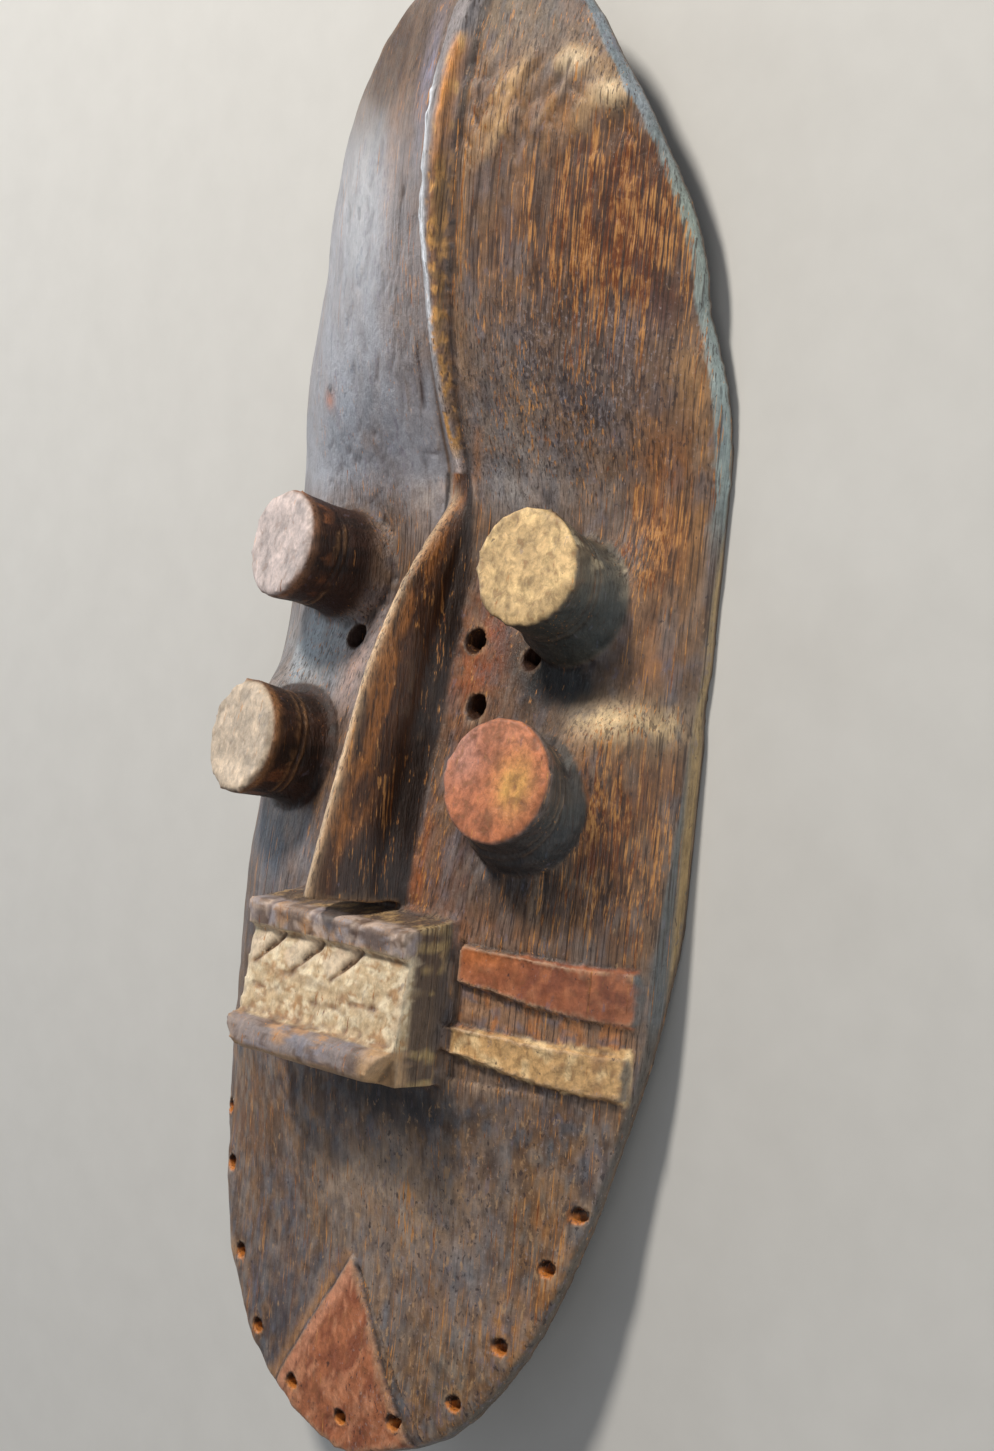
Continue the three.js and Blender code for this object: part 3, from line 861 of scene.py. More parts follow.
def paint_wood(p):
    """Stains and old paint all over the wood, and the crumpled patch beside the crown, with painted
    highlights and shade on its folds and painted highlights on its lumps.
    """
    lay, face, x, y = p.lay, p.face, p.x, p.y
    p.lay_tones(FACE_TONES)
    covered = face * (0.7 + 0.3 * p.low_face) * (1 - 0.7 * p.fibrous)
    for number, (share, seen) in enumerate(MOTTLES):
        patches = p.rough((8, 15, 8), 291 + number, 4)
        patches += 0.25 * p.tall + 0.1 * p.low_face
        lay(covered * share * over(patches, 0.2, 0.16), *seen)
    for number, (share, seen) in enumerate(CRACKLE):
        flakes = p.patches((4.6, 7.5, 4.6), 311 + number, 0.14, 0.12)
        lay(face * p.low_face * share * flakes, *seen)
    p.lay_tones(LAST_TONES)
    crumpled = face * blob(x, y, (42, 258), (38, 26)) * 0.85
    folds = folds_of(p.places)
    # painted highlight on the risen folds and painted shade in the sunk ones
    lay(crumpled * over(folds, 0, 0.5), 206, 166, 116)
    lay(crumpled * over(-folds, 0.05, 0.4), 98, 72, 50)
    # painted highlights on the two lumps beside the crown
    for at in ((60, 278), (78, 265)):
        lay(face * blob(x, y, at, (6.5, 5)) * (0.9 + 0.5 * p.fine), 236, 208, 168)


def paint_wash(p):
    """The pale wash to the left of the keel, its cuts, and a chip down to the red."""
    lay, face, x, y = p.lay, p.face, p.x, p.y
    p.wash = p.left * p.forehead * (1 - 0.8 * over(y, 244, 36))
    p.wash *= 1 - 0.55 * over(x, -44, 20) * over(y, 128, 40)
    lay(face * p.wash * (0.9 + 0.4 * p.mottle), 150, 148, 154)
    p.lay_tones(WASH_TONES)
    cuts = np.max([strokes(x, y, *cut) for _, *cut in KNIFE_CUTS[:CUTS_IN_WASH]], axis=0)
    lay(face * cuts * 0.45, 104, 96, 98)
    grained = over(p.tall, 0.25, 0.2) * over(x, -60, 30)
    lay(face * p.left * p.forehead * 0.5 * grained, 122, 104, 94)
    lay(face * along_lines(x, y, [(-14, 158), (-13.5, 146), (-15, 134)], 1.1), 66, 46, 38)
    lay(face * blob(x, y, (-89, 134), (5, 4)) * 0.8, 186, 116, 84)
    lay(face * blob(x, y, (-88, 138), (3.2, 2.0)) * 1.2, 30, 16, 12)


def paint_keel(p):
    """Painted highlight along the left edge, grey top, bare right edge, dark gutter with ticks, and
    a tan stripe.
    """
    lay, front, face, x, y = p.lay, p.front, p.face, p.x, p.y
    half = keel_half(y)
    keel = front * band(y, 100, 318, 6)
    lay(keel * band(x, -half - 2, half + 2, 1.5) * 0.9, 140, 134, 136)
    # painted highlight: a near-white line along the keel's left edge, where the light grazes it
    keel_edge_highlight = bell(x + half * line(y, [110, 160, 220, 260], [-0.5, 0.1, 0.6, 0.8]), 1.5)
    lay(keel * keel_edge_highlight * band(y, 116, 262, 18) * (1.0 + 0.4 * p.mottle), 236, 240, 248)
    worn = line(y, [110, 170, 225, 245, 284, 292], [0.3, 0.55, 0.85, 1, 1, 0])
    bare_edge = keel * bell(x - half + 0.4, 2.2) * worn
    lay(bare_edge * (0.95 + 0.5 * p.fine), 216, 144, 72)
    lay(bare_edge * over(p.fine, 0.02, 0.3), 242, 196, 128)
    flecked = keel * band(x, half - 3, half + 2.5, 1.5) * band(y, 120, 232, 12)
    lay(flecked * 0.6, 92, 66, 48)
    lay(flecked * p.patches((2.6, 5, 2.6), 297, -0.02, 0.16, 2), 212, 156, 90)
    gutter = keel * bell(x - half - 4.6, 2.6)
    # painted shade in the carved gutter along the keel's right foot
    lay(gutter * 0.85, 66, 60, 60)
    lay(gutter * 0.6 * over(p.tall, 0.15, 0.15), 150, 108, 66)
    ticks = np.clip(noise(p.places, (40, 2.6, 40), 33) * 2, 0, 1) * band(y, *TICKED, 10)
    lay(gutter * ticks * 0.75, 122, 88, 62)
    lay(keel * bell(x - half - 10.5, 3.0) * band(y, 150, 240, 14) * 0.5, 154, 122, 92)
    lay(face * along_lines(x, y, [(17, 122), (12, 104), (5, 97)], 2.4) * 0.7, 160, 112, 76)
    lay(front * along_lines(x, y, [(-11, 98), (0, 97), (8, 99)], 1.8) * 0.8, 204, 180, 166)


def paint_nose(p):
    """Painted highlight along the ridge, tan upper facet, and painted shade in the grooves and on
    the flanks.
    """
    lay, nose, tall = p.lay, p.nose, p.tall
    share = np.abs(p.nose_share)
    lay(nose, 78, 48, 30)
    facet = over(tall, 0.02, 0.3) * under(share, 0.62, 0.16)
    lay(nose * facet * 0.85, 154, 98, 50)
    lay(nose * p.left * 0.8, 150, 138, 134)
    # painted shade in the grooves and on the outer flanks, which face away from the light
    lay(nose * over(share, 0.60, 0.16) * 0.9, 38, 27, 23)
    flank = over(share, 0.86, 0.1) * (0.4 + 0.5 * over(p.mottle, 0, 0.3))
    lay(nose * flank, 66, 58, 60)
    lay(nose * under(p.y, -46, 18) * over(share, 0.25, 0.2) * 0.8, 60, 52, 54)
    # painted highlight: a cream line down the ridge; worn here only sets its strength along the
    # nose
    worn = line(p.y, [-85, -40, 40, 90, 100], [0.9, 0.95, 0.9, 0.5, 0])
    lay(nose * bell(p.x + 0.9, 2.5) * worn * (0.95 + 0.4 * tall), 232, 206, 180)


def paint_eyes(p):
    """Dull paint on the flat ends, dark stalks with pale rings, painted shade on the lower sides of
    two stalks, and painted light on their right sides.
    """
    lay, x, y, mottle = p.lay, p.x, p.y, p.mottle
    smoky = p.patches((5, 5, 26), 241, 0.02, 0.25)
    rusty = p.patches((6, 6, 13), 243, 0.2, 0.2)
    deeper = p.patches((8, 9, 8), 245, 0.04, 0.25)
    paler = p.patches((6, 7, 6), 247, 0.06, 0.2)
    waves = 1.2 * noise(p.places, (16, 16, 60), 95)
    for name, seen, edge, body in EYE_TONES:
        disc, stalk, down = p.disc[name], p.stalk[name], p.down[name]
        lay(stalk, *body)
        lay(stalk * 0.7 * smoky, *[0.55 * v for v in body])
        lay(stalk * 0.55 * rusty * under(down, 20, 12), 160, 98, 58)
        for ring in STALK_RINGS:
            ring_line = bell(down - ring - waves, 0.8) * smooth(mottle / 0.2 + 0.6)
            lay(stalk * 0.5 * ring_line, 186, 140, 96)
        lay(disc, *seen)
        lay(disc * 0.7 * deeper, *[0.82 * v for v in seen])
        lay(disc * 0.7 * paler, *[min(1.14 * v, 238) for v in seen])
        brim = over(p.disc_radius[name], 0.93, 0.07) * under(down, 7, 4)
        lay(brim * (disc + stalk) * (0.75 + 0.5 * mottle), *edge)
    upper, lower = p.stalk["upper_left"], p.stalk["lower_left"]
    # painted cool light on the right sides of the two stalks on the wearer's left, over their
    # mottled paint
    lay((upper + 0.8 * lower) * over(x, 84, 12) * (0.4 + 0.6 * mottle), 88, 92, 90)
    # painted shade on the lower sides of these two stalks
    lay(upper * under(y, 62, 14) * 0.8, 32, 40, 42)
    lay(lower * under(y, -30, 14) * 0.6, 36, 42, 48)
    # painted highlight in cream patches on the lit right side of the upper stalk
    stalk_side_highlight = upper * over(x, 92, 6) * over(y, 62, 8)
    lay(stalk_side_highlight * p.patches((4, 4, 9), 315, 0, 0.25, 2), 182, 166, 138)
    ochre_disc = p.disc["lower_left"]
    lay(ochre_disc * blob(x, y, (91, -24), (8, 11)) * (0.9 + 0.6 * p.fine), 214, 162, 88)
    lay(ochre_disc * blob(x, y, (64, -14), (9, 13)) * (0.8 + 0.5 * p.fine), 196, 140, 122)
    lay(ochre_disc * blob(x, y, (84, -4), (10, 5)) * 0.5, 206, 142, 110)
    scratches = strokes(x, y, 9, (82, -22), (9, 12), (8, 22), (0.5, 0.9), -8, 309)
    lay(ochre_disc * scratches * 0.8, 104, 56, 38)


def paint_mouth(p):
    """Kaolin with brown in its creases, mauve lips with nicks, brown ends of the block, painted
    shade at the foot of its sides, and painted light and shadow at the teeth's edges.
    """
    lay, x, y, z, fine = p.lay, p.x, p.y, p.z, p.fine
    lay(p.mouth, 104, 86, 72)
    sides = p.mouth * (1 - p.mouth_front)
    lay(sides * over(p.tall, 0.02, 0.18) * under(z, 84, 10), 178, 146, 104)
    # painted shade, blue-grey, at the foot of the block's sides next to the face
    lay(sides * under(z, 66, 12) * 0.6, 92, 92, 104)
    threads = p.patches((4, 3, 26), 317, 0.12, 0.12)
    lay(sides * threads * over(x, 46, 3) * 0.8, 176, 150, 104)

    p.teeth_row = teeth_row = band(y, -141.5, -103.5, 1.2) * p.mouth_front
    p.lips = lips = p.mouth_front * (1 - teeth_row)
    lay(lips, 142, 128, 124)
    lay(lips * smooth(y + 104), 198, 176, 162)
    lay(lips * 0.6 * p.patches((11, 7, 11), 251, 0, 0.3), 130, 132, 148)
    lay(lips * 0.7 * p.patches((8, 5, 8), 253, 0.2, 0.2), 190, 144, 100)
    lay(lips * 0.75 * p.patches((7, 6, 7), 254, 0.1, 0.18), 100, 78, 64)
    for at in LIP_NICKS_ABOVE:
        nick = bell(x - at - NICK_LEAN * (y - NICK_MIDDLE), 1.3)
        lay(lips * band(y, -104, -86, 1) * 0.5 * nick, 92, 62, 46)
    lay(lips * under(y, -152.5, 3) * (0.75 + 0.4 * fine), 196, 158, 118)
    lay(lips * over(x, 36, 6) * under(y, -140, 3) * 0.8, 192, 154, 112)

    lay(teeth_row, 208, 182, 144)
    lay(teeth_row * 0.75 * p.patches((5.5, 3.6, 5.5), 255, 0.14, 0.16), 172, 128, 84)
    lay(teeth_row * 0.8 * p.patches((4, 3.2, 4), 257, 0.08, 0.16), 242, 224, 190)
    lay(teeth_row * 0.45 * over(-p.proud, 0.06, 0.3), 146, 100, 62)
    lay(teeth_row * 0.6 * over(p.proud, 0.04, 0.3), 244, 226, 194)
    for points in MOUTH_CREASES:
        lay(teeth_row * along_lines(x, y, points, 2.0) * (0.3 + 0.6 * fine), 140, 108, 84)
    # painted shadow below each tooth's slanting edge, and painted light on the facet above it
    for start, end in TOOTH_EDGES:
        above, along = tooth_edge(x, y, start, end)
        lay(teeth_row * along * bell(above + 1.3, 1.2) * 0.75, 112, 80, 56)
        lay(teeth_row * along * band(above, 1.0, 8.0, 1.5) * 0.75, 228, 206, 178)


def paint_bars(p):
    """The red and the cream bar across the cheeks, and the worn wood between them."""
    lay, across, y, mottle, fine = p.lay, p.across, p.y, p.mottle, p.fine
    bars = p.face * band(p.x, -RIGHT_BARS_END, 125.5, 1.5) * over(across, 55.5, 1.5)
    wavering = y + 1.6 * p.rough((6, 9, 6), 261, 2)
    low = line(across, [56, 76, 118, 127], [-111.5, -112.5, -120, -121.4])
    between = bars * band(y, -132, low, 1.5)
    lay(between * 0.85 * (1 + 0.4 * mottle), 156, 118, 90)
    lay(between * 0.85 * over(p.tall, 0.02, 0.2), 190, 124, 74)
    lay(between * 0.6 * p.patches((6, 5, 6), 299, 0.1, 0.2), 112, 106, 114)
    p.red = red = bars * band(wavering, low, -97.5, 1.2)
    lay(red, 156, 92, 62)
    lay(red * 0.6 * over(mottle, 0, 0.3), 118, 66, 50)
    lay(red * 0.6 * over(fine, 0.05, 0.3), 188, 118, 80)
    lay(red * blob(p.x, y, (66, -100), (14, 5)) * 0.8, 190, 112, 62)
    low = line(across, [50, 62, 100, 125], [-142, -144.5, -150.5, -152.9])
    p.cream = cream = bars * band(wavering, low, -131.8, 1.2)
    lay(cream, 206, 163, 110)
    lay(cream * 0.7 * over(mottle, 0, 0.3), 152, 110, 72)
    lay(cream * 0.7 * over(fine, 0.03, 0.25), 238, 206, 156)


def paint_chin(p):
    """The ochre triangle, brushed on aslant, with a halo, a painted highlight on its left bevel, a
    dark line inside that bevel, and painted shadow lines along its outer edges.
    """
    lay, face, y = p.lay, p.face, p.y
    inwards = p.x + chin_half(y, CHIN_HALF_BASE)
    beyond = p.x - chin_half(y, CHIN_LEFT_HALF_BASE)
    p.chin = chin = face * under(y, CHIN_APEX, 2) * over(inwards, 0, 1.4) * over(-beyond, 0, 1.4)
    halo = face * under(y, CHIN_APEX + 4, 3) * bell(inwards + 4.0, 3.4)
    lay(halo * (0.85 + 0.5 * p.mottle), 176, 130, 90)
    lay(chin, 172, 106, 72)
    brushed = slanted(p.places, 0.83, 0.56)
    dark = over(rough_noise(brushed, (5, 16, 8), 271), 0.02, 0.22)
    pale = over(rough_noise(brushed, (3.5, 9, 5), 273), 0.1, 0.18)
    lay(chin * 0.75 * dark, 130, 72, 50)
    lay(chin * 0.7 * pale, 208, 142, 106)
    # painted highlight on the bevel along the left edge, which catches the light
    lay(chin * band(inwards, 1.0, 7.0, 1.5) * (0.75 + 0.4 * p.mottle), 206, 142, 110)
    lay(chin * bell(inwards - 8.6, 1.0) * 0.6, 124, 70, 50)
    below = face * under(y, CHIN_APEX, 3)
    # painted shadow lines just outside both edges of the raised triangle
    lay(below * bell(inwards + 0.8, 1.3) * 0.85, 46, 30, 26)
    lay(below * bell(beyond - 0.6, 1.0) * 0.6, 60, 40, 34)


def paint_wear(p):
    """Paler where it stands proud and darker in its hollows, the cool edge, the holes with painted
    light and shade in the tie holes, the back, and the warm wood.
    """
    lay, front, back, x, y = p.lay, p.front, p.back, p.x, p.y
    wood = p.face + 0.6 * p.nose + 0.5 * p.mouth
    # paler where the surface stands proud, darker in its hollows
    lay(wood * over(p.proud, 0.12, 0.5) * 0.45, 190, 158, 128)
    lay(front * over(-p.proud, 0.12, 0.5) * 0.55, 44, 32, 28)
    cool = p.rim * (1 - p.carved)
    lay(cool * 0.9, 94, 88, 82)
    edge = front * under(inside_outline(p.surface), 3.6, 0.7)
    edge *= over(y, 70, 40) * over(x, 0, 10)
    lay(edge * (0.9 + 0.2 * p.mottle), 158, 172, 170)
    lay(edge * over(y, 215, 40) * 0.7, 132, 138, 152)
    lay(edge * p.patches((5, 14, 5), 295, 0, 0.3) * 0.5, 112, 126, 130)
    lay(cool * band(y, -110, 70, 20) * (0.7 + 0.4 * p.mottle), 112, 118, 122)
    lay(cool * band(y, -130, 70, 20) * under(p.z, 11, 4) * 0.85, 178, 146, 98)
    sight, tie = p.bores()
    # painted shade inside the tie holes, and painted light on their lower walls, which face the
    # crown and the light
    lay(tie * 0.95, 30, 18, 12)
    lay(tie * over(p.surface.normals[:, 1], -0.15, 0.5), 206, 128, 60)
    lay(sight * 0.9, 66, 42, 30)
    lay(back, 84, 68, 56)
    lay(back * 0.6 * over(p.broad + p.mottle, 0, 0.5), 58, 46, 40)
    lay(back * 0.5 * p.patches((9, 30, 9), 281, 0.1, 0.4), 122, 108, 92)
    lay(back * rim_of(p.surface) * 0.6, 118, 96, 76)
    warm = np.max([blob(x, y, at, reach) for at, reach in WARM_PLACES], axis=0)
    warm = np.clip(warm * p.face + 0.8 * p.nose, 0, 1)
    p.tone *= 1 - warm[:, None] * np.array(WARM_LOSSES)


def fields(p):
    """Where the shader's own fine layers lie, each from 0 to 1."""
    face, x, y, discs = p.face, p.x, p.y, p.disc
    painted = (1 - p.chin) * (1 - p.red) * (1 - p.cream)
    streaks = 0.25 + 0.1 * p.broad
    for at, reach, share in STREAKS:
        streaks = streaks + share * blob(x, y, at, reach)
    shade = np.clip(blob(x, y, (70, 26), (30, 20)) + blob(x, y, (26, -170), (46, 12)), 0, 1)
    streaks *= face * (1 - 0.85 * p.wash) * painted * (1 - 0.8 * shade)
    streaks *= 1 - 0.8 * blob(x, y, (98, 32), (22, 24))
    streaks += 0.3 * p.nose + 0.15 * p.mouth
    plain = sum(discs.values()) + p.teeth_row + p.chin + p.red + p.cream
    plain = np.clip(plain, 0, 1)
    grain = (1 - plain) * (1 - 0.6 * blob(x, y, (98, 30), (20, 26))) * (1 - 0.85 * p.wash)
    mauve = face * (0.3 + 0.5 * p.broad + 0.2 * p.low_face) * (1 - plain)
    speckle = blob(x, y, (72, 150), (42, 40)) + 0.3 * p.right + 0.35 * p.low_face
    smoother = 0.35 * p.chin + 0.5 * p.red + 0.6 * p.teeth_row
    smoother += 0.45 * (discs["upper_right"] + discs["lower_right"])
    return {
        "streaks": streaks * (1 - p.rim),
        "flecks": face * (0.75 * p.low_face + 0.35 * p.right) * painted * (1 - p.rim),
        "grain": grain * (1 - 0.6 * p.low_face) * (1 - 0.8 * p.lips),
        "mauve": mauve * (1 - 0.8 * p.fibrous) * (1 - shade),
        "speckle": face * speckle * (1 - shade),
        "chalk": plain - smoother,
        "gloss": p.wash * face + 0.5 * p.rim + 0.3 * face,
    }


def paint(surface):
    """Writes the paint and wear of each vertex, as attributes of the piece."""
    work = Paintwork(surface)
    parts = (paint_wood, paint_wash, paint_keel, paint_nose, paint_eyes, paint_mouth)
    for paint_part in (*parts, paint_bars, paint_chin, paint_wear):
        paint_part(work)
    for name, values in fields(work).items():
        attribute = surface.piece.data.attributes.new(name, "FLOAT", "POINT")
        attribute.data.foreach_set("value", np.clip(values, 0, 1).astype(np.float32))
    attribute = surface.piece.data.attributes.new("tone", "FLOAT_COLOR", "POINT")
    tones = np.column_stack([work.tone, np.ones(surface.count)])
    attribute.data.foreach_set("color", tones.astype(np.float32).ravel())


def colour(red, green, blue):
    """A colour as seen, 0 to 255, as the shader's own values."""
    return [*tint(red, green, blue), 1.0]


class Graph:
    """Short names for the nodes of one material."""

    def __init__(self, name):
        self.material = bpy.data.materials.new(name)
        self.material.use_nodes = True
        self.nodes = self.material.node_tree.nodes
        self.shader = self.nodes["Principled BSDF"]
        self.object = self.add("TexCoord").outputs["Object"]

    def put(self, socket, value):
        if isinstance(value, bpy.types.NodeSocket):
            self.material.node_tree.links.new(value, socket)
        else:
            socket.default_value = value

    def add(self, kind, inputs=(), **settings):
        """A new node with its settings, and with values or links on its inputs."""
        node = self.nodes.new("ShaderNode" + kind)
        for name, value in settings.items():
            setattr(node, name, value)
        for socket, value in dict(inputs).items():
            self.put(node.inputs[socket], value)
        return node

    def math(self, operation, a, b):
        return self.add("Math", {0: a, 1: b}, operation=operation).outputs[0]

    def times(self, a, b):
        return self.math("MULTIPLY", a, b)

    def attribute(self, name, output="Fac"):
        return self.add("Attribute", attribute_name=name).outputs[output]

    def scaled(self, tone, amount):
        parts = {0: tone, "Scale": amount}
        return self.add("VectorMath", parts, operation="SCALE").outputs[0]

    def total(self, *parts):
        """The sum of parts, each a value and its weight."""
        value = 0.0
        for part, weight in parts:
            value = self.math("ADD", self.times(part, weight), value)
        return value

    def noise(self, scale, detail=4.0, roughness=0.55, distortion=0.0, shift=0.0):
        """Noise around 0, about 0.2 either way, stretched by the scale along each axis."""
        shifts = (shift, 0.6 * shift, 0.3 * shift)
        places = {"Vector": self.object, "Scale": scale, "Location": shifts}
        grain = {
            "Vector": self.add("Mapping", places).outputs[0],
            "Scale": 1.0,
            "Detail": detail,
            "Roughness": roughness,
            "Distortion": distortion,
        }
        return self.math("SUBTRACT", self.add("TexNoise", grain).outputs["Fac"], 0.5)

    def rise(self, value, low, high):
        """0 at low, 1 at high."""
        ends = {"Value": value, "From Min": low, "From Max": high}
        return self.add("MapRange", ends, interpolation_type="SMOOTHSTEP").outputs[0]

    def mix(self, share, ground, coat):
        parts = {"Factor": share, "A": ground, "B": coat}
        return self.add("Mix", parts, data_type="RGBA").outputs["Result"]

    def lay(self, tone, value, low, high, share, *seen):
        """A share of a colour as seen over a tone, where a value rises from low to high."""
        return self.mix(self.times(self.rise(value, low, high), share), tone, colour(*seen))


def old_paint():
    """Worn mineral paint over grained wood: fine layers over the tones of the vertices."""
    g = Graph("old paint on wood")
    grain, wear = g.attribute("grain"), g.attribute("streaks")
    mauve, speckle, chalk = g.attribute("mauve"), g.attribute("speckle"), g.attribute("chalk")
    fibres = g.noise((760, 24, 620), 4, 0.62, 0.2)
    hairs = g.noise((1900, 60, 1600), 3, 0.6, 0.15, 3.0)
    flakes = g.noise((230, 150, 230), 5, 0.64, 0.4, 5.0)
    clouds = g.noise((52, 24, 52), 4, 0.6, 0.6, 7.0)
    bundles = g.noise((110, 9, 110), 3, 0.6, 0.3, 37.0)
    specks = g.noise((620, 430, 620), 3, 0.62, 0.2, 9.0)
    grained = g.times(fibres, grain)

    light = g.total((grained, 1.4), (flakes, 1.0), (clouds, 0.5))
    light = g.total((g.times(hairs, grain), 1.1), (specks, 0.5), (light, 1.0))
    light = g.math("MAXIMUM", g.math("ADD", light, 1.0), 0.3)
    tone = g.scaled(g.attribute("tone", "Color"), light)

    # Residue of mauve and blue paint, and pale and dark specks
    residue = g.noise((240, 70, 240), 5, 0.62, 0.5, 11.0)
    residue = g.total((residue, 1.6), (flakes, 0.8), (mauve, 0.3), (wear, -0.22))
    tone = g.lay(tone, residue, 0.24, 0.38, 0.42, 112, 104, 118)
    bluish = g.noise((170, 80, 170), 5, 0.64, 0.5, 23.0)
    bluish = g.total((bluish, 1.6), (flakes, -0.6), (mauve, 0.25), (wear, -0.25))
    tone = g.lay(tone, bluish, 0.26, 0.4, 0.42, 92, 98, 112)
    pale = g.total((specks, 1.6), (hairs, 0.8), (speckle, 0.3))
    tone = g.lay(tone, pale, 0.38, 0.54, 0.6, 158, 144, 142)
    dark = g.noise((480, 260, 480), 3, 0.6, 0.3, 19.0)
    dark = g.total((dark, 1.8), (speckle, 0.3))
    tone = g.lay(tone, dark, 0.36, 0.5, 0.7, 50, 40, 44)

    # Dark gaps between the fibres, and bare fibres where the paint is worn off
    gaps = g.noise((900, 14, 760), 2, 0.55, 0.1, 31.0)
    gaps = g.total((gaps, 1.7), (hairs, 0.8), (wear, 0.22))
    tone = g.lay(tone, gaps, 0.14, 0.34, g.times(grain, 0.75), 54, 37, 30)
    cover = g.noise((1100, 15, 900), 2, 0.5, 0.08, 43.0)
    cover = g.total((cover, 1.7), (fibres, 0.9), (hairs, 0.6), (flakes, 0.2), (clouds, 0.25))
    cover = g.total((cover, 1.0), (bundles, 0.8), (wear, 0.48))
    bare = g.rise(cover, 0.34, 0.58)
    bare_light = g.total((hairs, 1.2), (flakes, 1.0), (clouds, 0.8))
    bare_tone = g.mix(g.rise(bare_light, -0.16, 0.24), colour(116, 60, 26), colour(202, 142, 80))
    tone = g.mix(g.times(bare, 0.92), tone, bare_tone)

    # Chips, dirt, and the two tones and stains of the chalky paints
    chips = g.noise((400, 130, 400), 3, 0.6, 0.4, 13.0)
    chips = g.total((chips, 1.6), (specks, 0.5), (g.attribute("flecks"), 0.25))
    tone = g.lay(tone, chips, 0.40, 0.56, 0.6, 186, 148, 108)
    dirt = g.total((g.noise((380, 80, 380), 4, 0.65, 0.3, 17.0), 1.6), (grain, 0.1))
    tone = g.lay(tone, dirt, 0.28, 0.44, 0.55, 40, 29, 24)
    crackle = g.total((g.noise((250, 200, 250), 3, 0.62, 0.5, 29.0), 1.6), (specks, 0.25))
    hollows = g.times(crackle, -1.0)
    raised, sunk = g.rise(crackle, 0.02, 0.1), g.rise(hollows, 0.04, 0.14)
    patches = g.total((raised, 0.15), (sunk, -0.16), (crackle, 0.25))
    tone = g.scaled(tone, g.math("ADD", g.times(patches, chalk), 1.0))
    tone = g.lay(tone, hollows, 0.12, 0.3, g.times(chalk, 0.4), 150, 104, 66)
    g.put(g.shader.inputs["Base Color"], tone)

    rough = g.total((g.attribute("gloss"), -0.18), (flakes, 0.4), (bare, -0.08))
    g.put(g.shader.inputs["Roughness"], g.math("ADD", rough, 0.56))
    relief = g.total((grained, 0.8), (flakes, 0.5), (hairs, 0.12), (specks, 0.2), (bare, -0.08))
    bump = g.add("Bump", {"Strength": 0.85, "Distance": 0.0012, "Height": relief})
    g.put(g.shader.inputs["Normal"], bump.outputs[0])
    return g.material


def floor_paper():
    g = Graph("pale floor")
    g.shader.inputs["Roughness"].default_value = 0.9
    grain = g.rise(g.noise((40, 40, 40), 3), -0.5, 0.5)
    g.put(g.shader.inputs["Base Color"], g.mix(grain, colour(206, 204, 200), colour(212, 210, 206)))
    return g.material


class MaskSettings(bpy.types.PropertyGroup):
    voxel: bpy.props.FloatProperty(
        name="Voxel", description="Fineness of the carved surface",
        default=1.25 * MM, min=0.0008, max=0.01, subtype="DISTANCE", unit="LENGTH",
    )
    faces: bpy.props.IntProperty(
        name="Triangles", description="Most triangles that the finished mask has",
        default=195000, min=20000, max=199000,
    )


class StageSettings(bpy.types.PropertyGroup):
    floor_size: bpy.props.FloatProperty(
        name="Floor", description="Side of the square floor",
        default=8.0, min=2.0, max=20.0, subtype="DISTANCE", unit="LENGTH",
    )
    camera_at: bpy.props.FloatVectorProperty(
        name="Camera", description="Where the camera stands",
        default=(0.8514, 0.0643, 0.8720), subtype="TRANSLATION", unit="LENGTH",
    )
    looking: bpy.props.FloatVectorProperty(
        name="Looking", description="The way that the camera looks",
        default=(-0.694, -0.0572, -0.7177), subtype="DIRECTION",
    )
    upwards: bpy.props.FloatVectorProperty(
        name="Upwards", description="The way that is up in the picture",
        default=(-0.1088, 0.9937, 0.0259), subtype="DIRECTION",
    )


class OBJECT_OT_carved_mask(bpy.types.Operator):
    """Carve and paint the mask around its solid"""

    bl_idname = "object.grebo_carved_mask"
    bl_label = "Carved Mask"

    def execute(self, context):
        settings = context.scene.grebo_mask
        piece = copy_of_node("mask", "carved_mask")
        apply_modifier(piece, "REMESH", mode="VOXEL", voxel_size=settings.voxel)
        surface = Surface(piece)
        soften_facets(surface)
        surface.write()
        carve(surface)
        apply_modifier(piece, "TRIANGULATE")
        thin_out(piece, surface, settings.faces)
        paint(Surface(piece))
        pick(piece)
        bpy.ops.object.shade_smooth()
        piece.data.materials.append(old_paint())
        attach(piece, "root")
        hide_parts("mask")
        return {"FINISHED"}


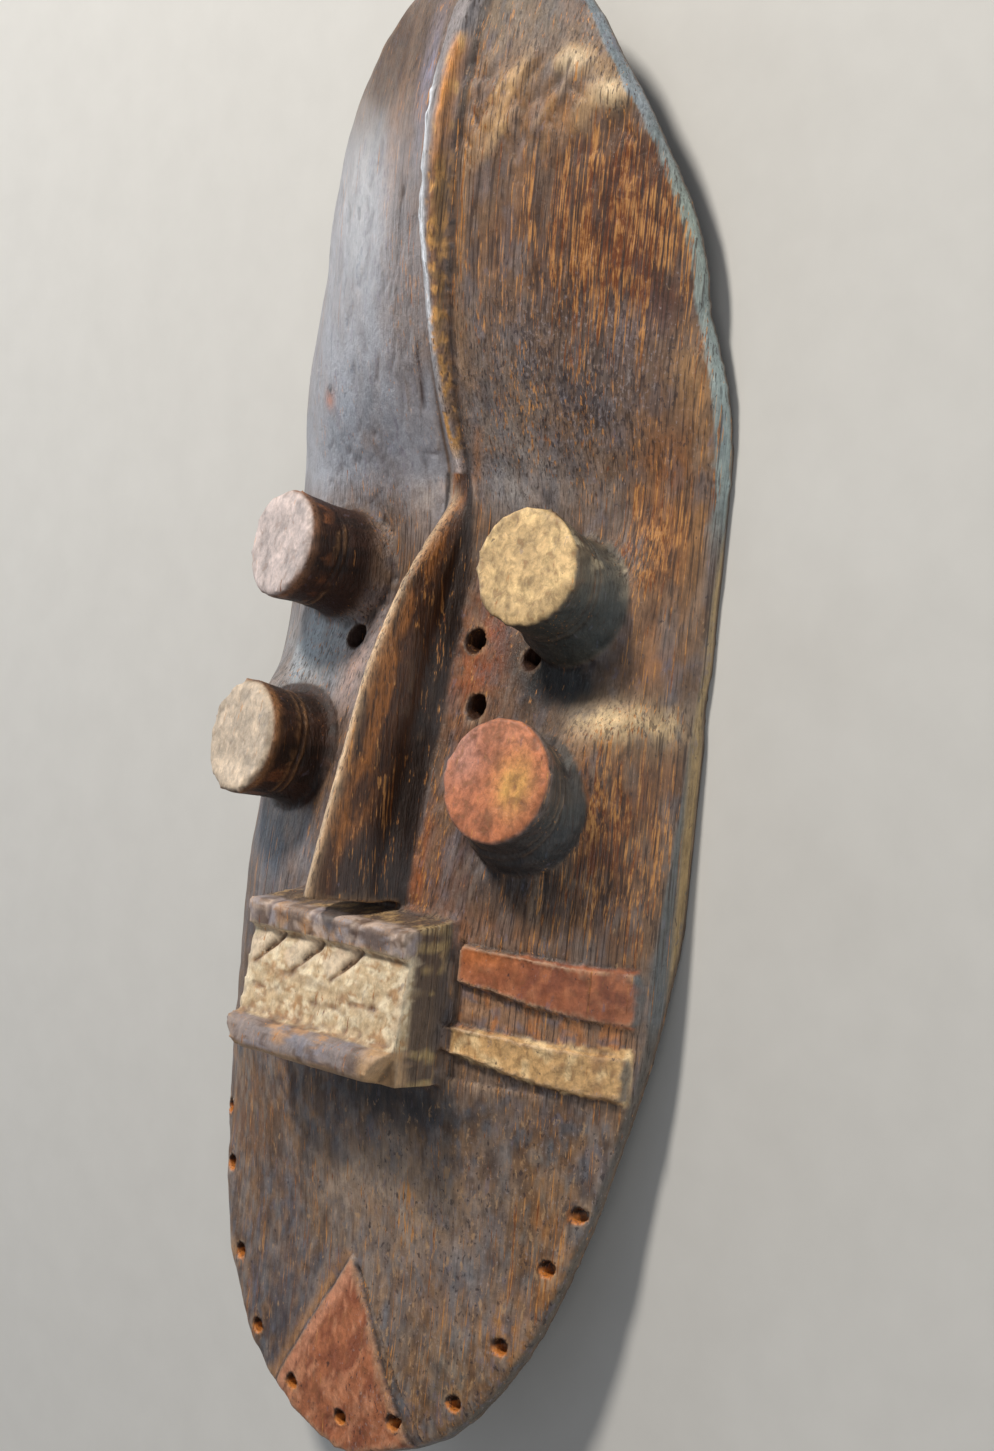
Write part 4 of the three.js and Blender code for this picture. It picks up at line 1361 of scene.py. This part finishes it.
class OBJECT_OT_mask_stage(bpy.types.Operator):
    """Lay the floor, hang the lights and set the camera"""

    bl_idname = "object.grebo_mask_stage"
    bl_label = "Stage"

    def execute(self, context):
        settings = context.scene.grebo_stage
        deselect()
        bpy.ops.mesh.primitive_plane_add(size=settings.floor_size)
        floor = context.object
        floor.name = "floor"
        floor.data.materials.append(floor_paper())
        self.light(context, "key light", (-0.25, 1.42, 1.30), 0.32, 34, (1.0, 0.95, 0.87))
        self.light(context, "cool side light", (-1.7, 0.35, 0.60), 1.0, 10, (0.82, 0.91, 1.0))
        self.light(context, "front light", (1.2, -0.7, 1.6), 1.2, 5, (1.0, 0.98, 0.95))
        self.light(context, "low side light", (1.8, 0.25, 0.25), 0.7, 8, (0.84, 0.95, 1.0))
        world = bpy.data.worlds.new("studio air")
        context.scene.world = world
        world.use_nodes = True
        air = world.node_tree.nodes["Background"]
        air.inputs["Color"].default_value = (0.85, 0.9, 1.0, 1)
        air.inputs["Strength"].default_value = 0.15
        self.camera(context, settings)
        context.scene.view_settings.view_transform = "Standard"
        return {"FINISHED"}

    def light(self, context, name, place, size, power, tint):
        data = bpy.data.lights.new(name, "AREA")
        data.shape = "DISK"
        data.size = size
        data.energy = power
        data.color = tint
        lamp = bpy.data.objects.new(name, data)
        lamp.location = place
        lamp.rotation_euler = Vector(place).to_track_quat("Z", "Y").to_euler()
        context.scene.collection.objects.link(lamp)

    def camera(self, context, settings):
        data = bpy.data.cameras.new("camera")
        data.sensor_width = SENSOR_MM
        data.lens = SENSOR_MM * PHOTO_FOCAL_PX / PHOTO_HEIGHT_PX
        data.clip_start = 0.05
        camera = bpy.data.objects.new("camera", data)
        back = -Vector(settings.looking).normalized()
        right = Vector(settings.upwards).cross(back).normalized()
        up = back.cross(right)
        turn = Matrix((right, up, back)).transposed()
        camera.matrix_world = Matrix.Translation(settings.camera_at) @ turn.to_4x4()
        context.scene.collection.objects.link(camera)
        context.scene.camera = camera


class VIEW3D_PT_grebo_mask(bpy.types.Panel):
    """Sizes and steps of the mask"""

    bl_label = "Grebo Mask"
    bl_space_type = "VIEW_3D"
    bl_region_type = "UI"
    bl_category = "Grebo Mask"

    def draw(self, context):
        layout = self.layout
        layout.prop(context.scene.grebo_mask, "voxel")
        layout.prop(context.scene.grebo_mask, "faces")
        layout.operator(OBJECT_OT_carved_mask.bl_idname)
        layout.prop(context.scene.grebo_stage, "floor_size")
        layout.operator(OBJECT_OT_mask_stage.bl_idname)


CLASSES = (
    MaskSettings,
    StageSettings,
    OBJECT_OT_carved_mask,
    OBJECT_OT_mask_stage,
    VIEW3D_PT_grebo_mask,
)


def register():
    for cls in CLASSES:
        bpy.utils.register_class(cls)
    bpy.types.Scene.grebo_mask = bpy.props.PointerProperty(type=MaskSettings)
    bpy.types.Scene.grebo_stage = bpy.props.PointerProperty(type=StageSettings)


def unregister():
    del bpy.types.Scene.grebo_stage
    del bpy.types.Scene.grebo_mask
    for cls in reversed(CLASSES):
        bpy.utils.unregister_class(cls)


def main():
    register()
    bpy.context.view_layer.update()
    bpy.ops.object.grebo_mask_stage()
    bpy.ops.object.grebo_carved_mask()


if __name__ == "__main__":
    main()
